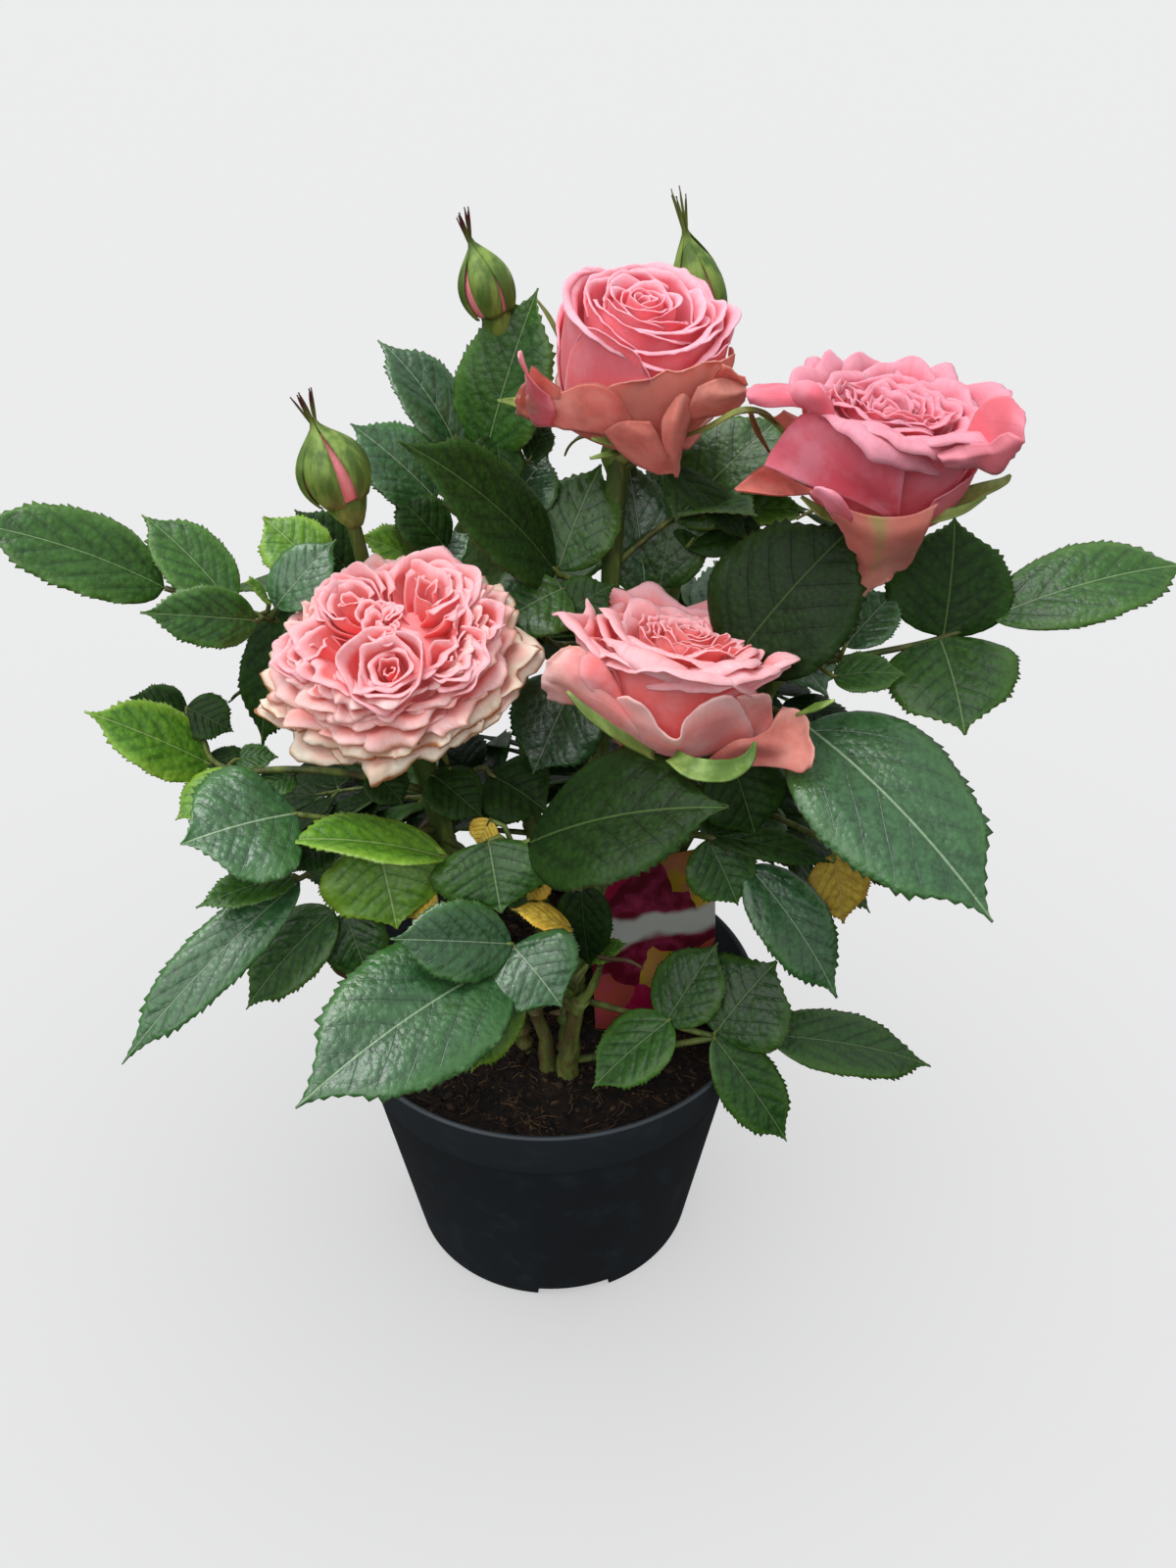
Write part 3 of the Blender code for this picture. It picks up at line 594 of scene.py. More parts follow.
SPRAYS = {
    "foliage_far_left": (
        ((168, 600, -10), (-40, 532, -22), 22, -12, "mid", 14, 0.10, 1.05),
        ((238, 617, -8), (146, 524, 4), 19, 10, "mid", 14, 0.05, 1.1),
        ((262, 634, -12), (143, 626, -26), 15, -34, "mid"),
        ((275, 614, -8), (250, 594, -14), 8, 0, "fresh"),
        ((282, 620, -8), (344, 551, 2), 15, 10, "blue"),
        ((330, 590, 4), (268, 528, 12), 20, 0, "fresh"),
        ((360, 590, 12), (300, 520, 20), 18, 0, "deep"),
        ((440, 584, 16), (366, 545, 8), 17, 0, "fresh", 14, 0.05, 0.9),
        ((436, 580, 18), (482, 545, 22), 12, 0, "blue"),
        ((300, 620, -6), (268, 762, -16), 27, 25, "deep", 16, 0.06, 1.15),
    ),
    "foliage_left": (
        ((213, 780, -22), (86, 727, -32), 19, -8, "fresh", 14, 0.06, 1.15),
        ((192, 730, -14), (132, 712, -16), 13, 0, "deep"),
        ((190, 722, -14), (238, 747, -18), 13, 10, "deep"),
        ((212, 772, -20), (265, 792, -22), 10, 0, "deep"),
        ((240, 775, -20), (284, 772, -18), 8, 0, "mid"),
        ((246, 792, -28), (178, 836, -38), 14, 0, "fresh", 14, 0.05, 1.1),
        ((300, 790, -20), (262, 812, -28), 10, 0, "mid"),
    ),
    "foliage_low_left": (
        ((303, 830, -45), (184, 862, -62), 34, -4, "blue", 8, 0.06, 1.0),
        ((303, 898, -50), (122, 1084, -86), 16, -12, "blue", 14, 0.08, 0.98),
        ((300, 893, -50), (200, 927, -66), 11, 0, "mid"),
        ((335, 860, -46), (300, 890, -54), 12, 0, "deep"),
    ),
    "foliage_lower_left": (
        ((340, 928, -48), (250, 1029, -62), 18, 0, "mid", 14, 0.06, 0.8),
        ((352, 930, -48), (378, 1002, -56), 18, 10, "mid", 14, 0.05, 0.85),
        ((385, 858, -44), (406, 948, -56), 32, 0, "fresh", 10, 0.05, 0.95),
        ((455, 875, -46), (285, 857, -54), 24, 30, "fresh", 26, 0.05, 1.0),
        ((372, 868, -30), (308, 896, -34), 16, 0, "deep"),
        ((440, 902, -48), (414, 938, -52), 12, 0, "ochre", 14, 0.05, 0.8),
    ),
    "foliage_front_left": (
        ((508, 983, -62), (300, 1128, -106), 35, -6, "blue", 10, 0.09, 0.9),
        ((522, 963, -60), (398, 958, -74), 21, -26, "blue", 14, 0.06, 0.85),
        ((524, 965, -60), (574, 1027, -72), 25, 10, "blue", 12, 0.12, 0.9),
        ((530, 990, -56), (480, 1094, -66), 20, 20, "fresh", 12, 0.06, 0.8),
        ((498, 858, -44), (511, 932, -56), 31, 0, "mid", 10, 0.06, 0.9),
    ),
    "foliage_front": (
        ((541, 858, -44), (744, 822, -58), 42, -6, "deep", 12, 0.07, 0.85),
        ((520, 905, -34), (552, 932, -38), 10, 0, "mid"),
        ((552, 886, -44), (538, 920, -46), 10, 0, "ochre", 12, 0.05, 0.85),
        ((584, 948, -50), (522, 928, -54), 10, 20, "ochre", 12, 0.05, 1.1),
        ((500, 836, -38), (488, 864, -40), 9, 0, "ochre", 12, 0.05, 0.9),
        ((592, 902, -44), (601, 988, -48), 14, 10, "deep", 14, 0.05, 0.6),
        ((600, 985, -30), (616, 930, -32), 7, 0, "fresh", 12, 0.05, 0.7),
        ((606, 978, -30), (640, 962, -34), 6, 0, "fresh", 12, 0.05, 0.8),
    ),
    "foliage_low_right": (
        ((683, 1040, -34), (604, 1110, -44), 19, 0, "mid", 10, 0.06, 1.25),
        ((678, 1046, -34), (733, 962, -22), 22, 0, "mid", 8, 0.05, 0.85),
        ((729, 1054, -36), (792, 980, -26), 31, 4, "mid", 8, 0.05, 0.72),
        ((728, 1058, -36), (803, 1165, -46), 20, 6, "mid", 12, 0.06, 0.85),
        ((783, 1058, -34), (950, 1090, -22), 20, -6, "mid", 12, 0.08, 0.8),
    ),
    "foliage_right": (
        ((765, 883, -35), (855, 1017, -52), 21, 0, "blue", 14, 0.07, 0.8),
        ((722, 856, -34), (753, 924, -42), 20, 0, "mid", 12, 0.05, 0.85),
        ((722, 853, -34), (852, 882, -36), 10, 0, "deep"),
        ((850, 872, -26), (861, 942, -32), 17, 0, "ochre", 14, 0.05, 0.75),
    ),
    "foliage_big_right": (
        ((820, 740, -18), (1012, 942, -62), 42, -4, "blue", 10, 0.08, 0.95),
        ((745, 773, -24), (771, 855, -34), 25, 0, "deep", 12, 0.05, 1.1),
        ((850, 690, -10), (925, 688, -10), 12, 0, "mid"),
    ),
    "foliage_far_right": (
        ((963, 650, 5), (975, 527, 24), 33, 6, "deep", 8, 0.05, 1.25),
        ((1010, 632, 8), (1218, 577, 20), 28, -4, "mid", 12, 0.08, 0.95),
        ((960, 650, 5), (986, 750, -20), 33, 6, "mid", 10, 0.06, 0.9),
        ((862, 660, 0), (916, 602, 12), 16, 0, "blue", 12, 0.05, 0.9),
    ),
    "foliage_under_right_bloom": (
        ((745, 676, -14), (876, 530, -2), 39, 4, "deep", 10, 0.05, 0.6),
        ((745, 522, 40), (826, 520, 46), 13, 0, "fresh", 14, 0.05, 0.9),
    ),
    "foliage_top_left": (
        ((495, 466, 38), (549, 294, 44), 28, 0, "mid", 18, 0.04, 0.95),
        ((470, 462, 38), (387, 346, 50), 21, 14, "blue", 24, 0.08, 0.75),
        ((445, 510, 24), (357, 433, 26), 23, 0, "blue", 16, 0.06, 0.95),
        ((540, 470, 36), (562, 432, 42), 9, 0, "deep"),
        ((520, 520, 34), (560, 462, 44), 20, 0, "blue", 14, 0.05, 0.9),
    ),
    "foliage_upper_left": (
        ((567, 582, 18), (407, 447, -2), 29, -6, "deep", 12, 0.06, 1.2),
        ((455, 560, 14), (402, 505, 18), 17, 0, "deep"),
    ),
    "foliage_centre": (
        ((568, 582, 22), (612, 474, 40), 27, 0, "mid", 14, 0.04, 0.8),
        ((648, 606, 34), (694, 478, 46), 11, 0, "deep", 22, 0.05, 0.7),
        ((660, 610, 30), (640, 462, 46), 24, 0, "blue", 12, 0.05, 0.85),
        ((672, 600, 30), (700, 470, 46), 22, 0, "mid", 12, 0.05, 0.75),
        ((560, 640, 0), (628, 596, 6), 18, 0, "deep"),
        ((575, 600, 6), (505, 640, -6), 24, 0, "mid", 12, 0.05, 0.7),
        ((590, 690, -6), (545, 790, -16), 28, 0, "blue", 12, 0.05, 0.55),
        ((690, 640, 20), (600, 690, 6), 26, 0, "deep", 12, 0.05, 0.9),
        ((440, 790, -22), (492, 835, -30), 16, 0, "deep"),
        ((500, 790, -14), (560, 830, -22), 22, 0, "deep"),
        ((380, 785, -26), (412, 822, -32), 12, 0, "deep"),
    ),
    "foliage_top_right": (
        ((690, 532, 34), (802, 424, 54), 30, 0, "mid", 12, 0.06, 0.9),
        ((680, 478, 30), (767, 556, 24), 12, 0, "deep"),
        ((700, 560, 30), (770, 500, 50), 24, 0, "deep"),
    ),
}


def compound_leaf(gather, stalks, root, heading, reach, pairs, size, skin, rng, droop, tone):
    """One pinnate leaf: a drooping stalk with paired leaflets and one at its end."""
    heading = unit(heading)
    side = unit(np.cross(heading, UP))
    path = []
    for k in range(9):
        t = k / 8
        path.append(root + heading * (reach * t) - UP * (droop * reach * t * t))
    stalks.take(*tube(path, [1.0 - 0.45 * k / 8 for k in range(9)], 6), tone=0.1)
    places = [(1.0, 0)]
    for pair in range(pairs):
        t = 0.88 - 0.42 * pair
        places.append((t, 1))
        places.append((t, -1))
    for t, hand in places:
        spot = root + heading * (reach * t) - UP * (droop * reach * t * t)
        ahead = unit(heading - UP * (2 * droop * t))
        if hand:
            way = unit(ahead * (0.35 + 0.25 * rng.random()) + side * hand + UP * rng.uniform(-0.15, 0.25))
            length = size * rng.uniform(0.75, 0.95)
        else:
            way = unit(ahead + UP * rng.uniform(-0.2, 0.05))
            length = size * rng.uniform(1.0, 1.15)
        facing = unit(np.array((rng.uniform(-0.4, 0.4), rng.uniform(-0.4, 0.4), 1.0)) + heading * 0.3)
        start_at = spot + way * 2.5
        grid = blade(
            start_at, start_at + way * length, length * rng.uniform(0.58, 0.68), rng.uniform(-14, 14),
            rng.uniform(8, 20), rng.uniform(0.03, 0.1), facing, rng.random() * 9, HIDDEN_TEETH, 9)
        take_leaf(gather, grid, skin, tone * rng.uniform(0.85, 1.12))
        stalks.take(*tube([spot, start_at + way * 0.8], [0.6, 0.5], 5), tone=0.1)


# ---- canes and stalks -----------------------------------------------------------
CANE_FOOT_R = 3.9
CANE_TOP_R = 3.0
CANE_STEPS = 60
CANE_SUNK = 4
# where along a cane its leaf joints swell it, as shares of its length
KNOTS = (0.04, 0.13, 0.30, 0.47, 0.64, 0.80)
SOIL_Z = 82.8
# place of the foot on the mix, a point that the cane leans through, and its tip
CANES = {
    "cane_front_bloom": ((5, -27), (12, -23, 140), (30, -21, 198)),
    "cane_left_bloom": ((-7, -19), (-24, -19, 140), (-35, -20, 212)),
    "cane_right_bloom": ((20, 8), (52, 12, 165), (84, 4, 256)),
    "cane_top_bloom": ((8, -5), (15, 18, 165), (21, 37, 262)),
    "cane_left_bud": ((-9, -5), (-34, 4, 160), (-49, 0, 254)),
    "cane_back_bud": ((-2, 9), (-8, 38, 175), (-12, 45, 291)),
    "cane_back_right_bud": ((8, 20), (34, 54, 170), (47, 80, 279)),
}


def cane_line(foot, lean, end):
    """Centre line of a cane, from the mix to its tip."""
    foot = np.array((*foot, SOIL_Z), dtype=float)
    lean = np.array(lean, dtype=float)
    end = np.array(end, dtype=float)
    bend = foot + (lean - foot) * 0.22
    bend[2] = foot[2] + (lean[2] - foot[2]) * 0.38
    return np.array([spline((foot, bend, lean, end), k / CANE_STEPS) for k in range(CANE_STEPS + 1)])


LINES = {name: cane_line(*ends) for name, ends in CANES.items()}


def cane_radius(t):
    """Radius of a cane, t from foot to tip."""
    return CANE_FOOT_R + (CANE_TOP_R - CANE_FOOT_R) * t ** 0.7 + 0.9 * max(0.0, 1 - t / 0.06)


def prickle(gather, spot, out, down, length):
    """Hooked prickle with a long low foot."""
    path = [
        spot - out * 0.6, spot + out * length * 0.45 + down * 0.1 * length,
        spot + out * length * 0.85 + down * 0.25 * length, spot + out * length + down * 0.5 * length]
    gather.take(*tube(path, [1.5, 0.8, 0.35, 0.08], 8), tone=0.75)


def make_canes(skin):
    """Round canes with swollen joints, ridged skin and curved prickles."""
    for number, (name, line) in enumerate(LINES.items()):
        rng = np.random.default_rng(40 + number)
        gather = Gather()
        count = len(line)
        radii = []
        for k in range(count):
            t = k / (count - 1)
            knot = sum(math.exp(-((t - joint) / 0.012) ** 2) for joint in KNOTS)
            slim = 0.30 * t if "bud" in name else 0.0
            radii.append(cane_radius(t) * (0.48 + 0.44 * min(1.0, t / 0.5) + 0.24 * knot - slim))
        tone = 0.28 * np.clip(1 - np.arange(count) / (count * 0.35), 0, 1)
        sunk = np.concatenate((line[:1] - (0, 0, CANE_SUNK), line))
        points, faces = tube(sunk, [radii[0] * 1.15] + radii, 16, 0.24, number * 7.3)
        tones = np.concatenate((np.repeat(np.concatenate((tone[:1], tone)), 16), (0.2, 0.0)))
        gather.take(points, faces, tone=tones)
        for spike in range(9):
            k = int(rng.uniform(0.05, 0.88) * count)
            ahead = unit(line[min(k + 1, count - 1)] - line[k - 1])
            turn = rng.uniform(0, 2 * math.pi)
            out = unit(np.cross(ahead, (math.cos(turn), math.sin(turn), 0.2)))
            prickle(gather, line[k] + out * radii[k] * 0.8, out, -ahead, rng.uniform(2.6, 4.6))
        hand_over(gather.finish(name + "_bark", [skin]), "cane_skin", name)


def nearest_cane(point, drop=0.35):
    """Place on a cane that a leaf stalk from this point would grow from, a little below it."""
    best = None
    for line in LINES.values():
        gap = np.linalg.norm(line - point, axis=1)
        above = np.maximum(0, line[:, 2] - (point[2] - drop * gap))
        cost = gap + 1.5 * above
        k = int(np.argmin(cost))
        if best is None or cost[k] < best[0]:
            best = (cost[k], line[k], unit(line[min(k + 1, len(line) - 1)] - line[max(k - 1, 0)]))
    return best[1], best[2]


# ---- petals ---------------------------------------------------------------------
FRESH, DUSKY, CREAM, BLUSH = range(4)
# degrees from each petal of a spiral to the next
GOLDEN_TURN = 137.5
SEPAL_THICK = 0.35
RIBBON_THICK = 0.5


class Home:
    """Place and lean of a bloom: its foot, its axis, the two directions across it, and its cup, a list
    of heights and radii in millimetres."""

    def __init__(self, foot, axis, cup=((0, 30), (5, 30))):
        self.foot = np.array(foot, dtype=float)
        self.up = unit(axis)
        self.right = unit(RIGHT - self.up * self.up.dot(RIGHT))
        self.back = np.cross(self.up, self.right)
        self.cup = cup

    def place(self, across, deep, high):
        """World points from the bloom's own three coordinates."""
        spot = self.foot + self.right * np.asarray(across)[..., None]
        spot = spot + self.back * np.asarray(deep)[..., None]
        return spot + self.up * np.asarray(high)[..., None]

    def shifted(self, across, deep):
        """The same home moved across its axis."""
        return Home(self.place(across, deep, 0.0), self.up, self.cup)

    def hug(self, px, py, lift):
        """Point seen at a picture place on the near side of the cup, stood off from it by lift."""
        look = at(px, py, self.foot[1]) - CAMERA_AT
        steps = np.linspace(0.7, 1.2, 1400)[:, None]
        points = CAMERA_AT + look * steps
        away = points - self.foot
        high = away @ self.up
        out = np.linalg.norm(away - high[:, None] * self.up, axis=1)
        gap = out - np.interp(high, *self.cup) - lift
        inside = np.nonzero(gap < 0)[0]
        return points[inside[0]] if len(inside) else points[int(np.argmin(gap))]


def petal(
        home, turn, foot, top, lean, lip, width, droop=0.12, power=2.4, tilt=0.0, painted_groove_shade=1.0, spiral=0.0,
        ruffle=0.0, waves=1.5, seed=0.0, neck=0.35, body=12, rolled=7, cols=21):
    """Grid of one petal and its along values. Its middle runs from foot to top, both radius and height,
    leaving and arriving at the two lean angles from the axis, then rolls on through the lip's width and
    angle. turn is its compass place."""
    foot = np.array(foot, dtype=float)
    top = np.array(top, dtype=float)
    first = math.radians(lean[0])
    last = math.radians(lean[1])
    handle = 0.42 * np.linalg.norm(top - foot)
    leave = foot + handle * np.array((math.sin(first), math.cos(first)))
    arrive = top - handle * np.array((math.sin(last), math.cos(last)))
    t = np.linspace(0, 1, 40)[:, None]
    line = ((1 - t) ** 3 * foot + 3 * t * (1 - t) ** 2 * leave + 3 * t * t * (1 - t) * arrive + t ** 3 * top)
    line = np.concatenate((line, [top + 12 * np.array((math.sin(last), math.cos(last)))]))
    steps = np.linalg.norm(np.diff(line, axis=0), axis=1)
    run = np.concatenate(((0,), np.cumsum(steps)))
    length = run[-2]
    slope = np.unwrap(np.arctan2(*np.gradient(line, axis=0).T))
    u = np.linspace(1, -1, cols)
    reach = length * np.clip(1 - droop * np.abs(u) ** power - tilt * u, 0.25, 1.3)
    reach = reach + 0.35 * ruffle * np.sin(math.pi * waves * 1.6 * u + seed * 2.3)
    share = np.linspace(0, 1, body)[:, None]
    far = share * reach[None]
    out = np.interp(far, run, line[:, 0])
    high = np.interp(far, run, line[:, 1])
    end = np.interp(reach, run, slope)[None]
    t = np.linspace(0, 1, rolled + 1)[1:, None]
    wide = lip[0] * (1 + 0.3 * np.sin(seed * 1.7 + u * 2.1))[None] * (1 - 0.85 * np.abs(u) ** 2.4)[None]
    curl = np.radians(lip[1]) * (1 + 0.25 * np.sin(seed * 3.3 + u * 1.9))[None] + 1e-3
    out = np.concatenate((out, out[-1:] + wide / curl * (np.cos(end) - np.cos(end + curl * t))))
    high = np.concatenate((high, high[-1:] + wide / curl * (np.sin(end + curl * t) - np.sin(end))))
    part = np.concatenate((share, np.ones((rolled, 1))))
    along = np.concatenate((0.7 * share, 0.7 + 0.3 * t)) * np.ones((1, cols))
    half = width / 2 * (neck + (1 - neck) * np.sin(np.pi / 2 * np.minimum(1, part / 0.75)))
    bend = np.maximum(np.abs(out[:, cols // 2:cols // 2 + 1]) * painted_groove_shade, 0.8)
    alpha = u[None] * half / bend
    wave = ruffle * np.sin(math.pi * waves * u + seed)[None] * part ** 4
    radial = out - bend * (1 - np.cos(alpha)) + spiral * u[None] * part + wave
    sideways = bend * np.sin(alpha)
    cos_t, sin_t = compass(turn)
    grid = home.place(radial * cos_t - sideways * sin_t, radial * sin_t + sideways * cos_t, high + 0.4 * wave)
    return grid, (0.5 + 0.5 * u[None] * np.ones((body + rolled, 1)), along)


def fold_loop(home, across, deep, turn, long, wide, span, dome, tall, lip, seed, ruffle, cols):
    """Grid of a petal folded into a loop, as in the quarters of a very full bloom: an oval arc in plan,
    open at its back, its lip following the bloom's dome."""
    body = 6
    rolled = 5
    u = np.linspace(1, -1, cols)
    beta = math.radians(span) * u
    wobble = 1 + 0.08 * np.sin(3 * beta + seed) + 0.05 * np.sin(5 * beta + seed * 2)
    plan = np.stack((long * wobble * np.cos(beta), wide * wobble * np.sin(beta)), axis=1)
    way = np.gradient(plan, axis=0)
    normal = np.stack((way[:, 1], -way[:, 0]), axis=1)
    normal /= np.maximum(np.linalg.norm(normal, axis=1, keepdims=True), 1e-6)
    if (normal * plan).sum() < 0:
        normal = -normal
    cos_t, sin_t = compass(turn)
    spin = np.array(((cos_t, sin_t), (-sin_t, cos_t)))
    plan = plan @ spin
    normal = normal @ spin
    rows = []
    alongs = []
    wave = ruffle * np.sin(4.3 * beta + seed * 5)
    for k in range(body + rolled):
        if k < body:
            s = k / (body - 1)
            offset = (s - 1) * 1.6 + wave * s * s
            drop = (1 - s) * tall
            part = 0.7 * s
        else:
            t = (k - body + 1) / rolled
            curl = math.radians(lip[1]) * (1 + 0.3 * np.sin(seed + 2 * beta))
            offset = wave + lip[0] / curl * (1 - np.cos(curl * t))
            drop = -lip[0] / curl * np.sin(curl * t)
            part = 0.7 + 0.3 * t
        spot = plan + normal * (offset * np.ones(cols))[:, None]
        x = across + spot[:, 0]
        y = deep + spot[:, 1]
        rows.append(home.place(x, y, dome(np.hypot(x, y)) - drop + 0.5 * np.sin(seed + 2.2 * u)))
        alongs.append(np.full(cols, part))
    return np.array(rows), (0.5 + 0.5 * u[None] * np.ones((body + rolled, 1)), np.array(alongs))


def drape(home, *curves, rows=16, cols=17, belly=0.0, ruffle=0.0, seed=0.0, tip=0.95, root=0.35):
    """Grid of a petal stretched over curves of picture places with stand-offs from the cup, from one side
    to the other, each from its foot to its lip."""
    s = np.linspace(0, 1, rows)
    lines = np.array([[spline([home.hug(*p) for p in curve], k) for k in s] for curve in curves])
    grid = np.array([[spline(lines[:, i], j / (cols - 1)) for j in range(cols)] for i in range(rows)])
    normal = np.cross(np.gradient(grid, axis=1), np.gradient(grid, axis=0))
    normal = normal / np.maximum(np.linalg.norm(normal, axis=2, keepdims=True), 1e-6)
    S, U = np.meshgrid(s, np.linspace(-1, 1, cols), indexing="ij")
    push = belly * np.sin(math.pi * S) * (1 - U * U) + ruffle * np.sin(5.2 * U + seed + 3 * S) * S ** 3
    return grid + normal * push[..., None], (0.5 + 0.5 * U, root + (tip - root) * S)


def crinkled(grid, along, depth):
    """The grid of a petal with its outer half crinkled, as thin petals are."""
    moved = grid.copy()
    for row, col in np.argwhere(along > 0.4):
        spot = grid[row, col]
        push = noise.noise_vector(Vector(spot * 0.23)) + noise.noise_vector(Vector(spot * 0.55)) * 0.35
        moved[row, col] += np.array(push) * depth * (along[row, col] - 0.4) ** 1.5 / 0.46
    return moved


def take_petal(gather, made, age=0.0, skin=FRESH, thick=0.26, flush=0.0):
    """Adds one petal to a bloom."""
    grid, places = made
    grid = crinkled(grid, places[1], 0.75 + 0.9 * min(1.0, age))
    points, faces, uvs, under = shell(grid, thick, places)
    gather.take(points, faces, uvs, age, under, skin, flush)


# how many petals, the turn of the first, then what petal() takes, then their skin and age
Ring = namedtuple(
    "Ring", "count first foot top lean lip width ruffle waves droop skin age", defaults=(0.12, FRESH, 0.0))


def add_rings(
        gather, home, rings, rng, loose=1.0, painted_groove_shade=1.0, spiral=0.8, body=10, rolled=7, cols=23, squash=0.0):
    """Rings of overlapping petals, each a little different."""
    for ring in rings:
        for k in range(ring.count):
            turn = ring.first + 360.0 * k / ring.count + rng.uniform(-7, 7) * loose
            front = 0.5 - 0.5 * math.sin(math.radians(turn))
            inward = 1 - squash * max(0, 2 * front - 1)
            reach = ring.top[0] * (1 + 0.035 * loose * rng.uniform(-1, 1)) * inward
            top = (reach, ring.top[1] + 0.7 * loose * rng.uniform(-1, 1))
            lip_wide = ring.lip[0] * rng.uniform(0.8, 1.2) * (0.7 + 0.4 * front)
            lip_turn = ring.lip[1] * rng.uniform(0.9, 1.1) * (0.62 + 0.5 * front)
            made = petal(
                home, turn, ring.foot, top, ring.lean, (lip_wide, lip_turn),
                ring.width * rng.uniform(0.9, 1.1), ring.droop * rng.uniform(0.7, 1.4), rng.uniform(1.7, 3.0),
                0.06 * loose * rng.uniform(-1, 1), painted_groove_shade * rng.uniform(0.9, 1.15), spiral,
                ring.ruffle * rng.uniform(0.5, 1.4), ring.waves * rng.uniform(0.7, 1.3), rng.uniform(0, 6),
                0.35, body, rolled, cols)
            take_petal(gather, made, ring.age * rng.uniform(0.6, 1.3), ring.skin)


def add_outer(gather, home, outer, step):
    """Outer petals of a wide bloom, each given by a row; step sets their seeds apart."""
    for number, (turn, top, lean, lip, width, droop, power, tilt, ruffle) in enumerate(outer):
        foot = (4, 0.5 + 0.1 * number)
        made = petal(
            home, turn, foot, top, lean, lip, width, droop, power, tilt, 0.86, 0.2, ruffle, 1.9,
            number * step, 0.4, 18, 9, 33)
        take_petal(gather, made, 0.0, FRESH, 0.36)


def spiral_heart(gather, home, count, reach, crown, fall, rng, lip=(1.0, 2.6), first=0.0, foot=10.0):
    """Spiral of petals, each wrapped round the ones before it, loosening outwards."""
    for k in range(count):
        part = (k + 0.6) / count
        radius = 0.7 + (reach - 0.7) * part ** 0.9
        arc = math.radians(300 - 150 * part)
        high = crown - fall * part ** 1.5 + rng.uniform(-0.7, 0.7) * (0.3 + part)
        turn = first + GOLDEN_TURN * k + rng.uniform(-12, 12)
        lean = (12, rng.uniform(-16, 2))
        lip_wide = lip[0] + (lip[1] - lip[0]) * part * rng.uniform(0.6, 1.3)
        made = petal(
            home, turn, (radius * 0.6, high - foot), (radius, high), lean, (lip_wide, rng.uniform(25, 75)),
            radius * arc, rng.uniform(0.04, 0.14) * foot / 10, rng.uniform(1.3, 2.6),
            rng.uniform(-0.09, 0.09), rng.uniform(0.9, 1.15), 0.10 * radius + 0.25, 0.10 + 0.035 * radius,
            rng.uniform(1, 2.4), rng.uniform(0, 6), 0.8, 7, 5, 25)
        take_petal(gather, made)


def ribbon(gather, line, widths, facing, tone):
    """Narrow folded blade along a line, such as a sepal."""
    line = np.asarray(line, dtype=float)
    count = len(line)
    rows = 5 * (count - 1) + 1
    grid = np.zeros((rows, 7, 3))
    facing = np.asarray(facing, dtype=float)
    for i in range(rows):
        t = i / (rows - 1)
        spot = spline(line, t)
        ahead = unit(spline(line, min(1, t + 0.02)) - spline(line, max(0, t - 0.02)))
        normal = unit(facing - ahead * ahead.dot(facing))
        side = np.cross(ahead, normal)
        half = np.interp(t * (count - 1), range(count), widths) / 2
        for j in range(7):
            u = -1 + j / 3
            grid[i, j] = spot + side * (u * half) + normal * (0.35 * half * u * u)
    points, faces, uvs, under = shell(grid, RIBBON_THICK)
    gather.take(points, faces, uvs, tone, under)


def picture_line(*places):
    """Line in millimetres through picture places with depths."""
    return [at(*p) for p in places]


def sepals_seen(calyx, *sepals):
    """Sepals and stalks bent as they show: the widths along each, how red it is, and its places."""
    for widths, tone, *places in sepals:
        ribbon(calyx, picture_line(*places), widths, UP - FORWARD, tone)


def finish_bloom(name, gather, petals, calyx, leafy):
    """Makes a bloom's two pieces: its petals, and its hip with its sepals."""
    hand_over(gather.finish(name + "_petals", petals), "petals", name)
    hand_over(calyx.finish(name + "_calyx", [leafy]), "cane_skin")


def hip_and_sepals(gather, home, radius, sepals, rng):
    """Green hip under a bloom with its sepals bent back."""
    path = [home.foot + home.up * z for z in (-8.5, -7, -4.5, -2, 0.5, 2.5)]
    gather.take(*tube(path, [radius * r for r in (0.55, 0.70, 0.95, 1.05, 1.0, 0.7)], 18), tone=0.05)
    for turn, length, bend in sepals:
        cos_t, sin_t = compass(turn)
        line = []
        for k in range(9):
            s = k / 8
            angle = math.radians(80 + bend * s)
            r = radius * 0.7 + length * s * math.sin(angle)
            line.append(home.place(r * cos_t, r * sin_t, 0.4 + length * s * math.cos(angle)))
        widths = (2.6, 3.5, 4.0, 3.8, 3.0, 2.2, 1.4, 0.8, 0.25)
        ribbon(gather, line, widths, home.up, 0.2 + 0.5 * rng.random())


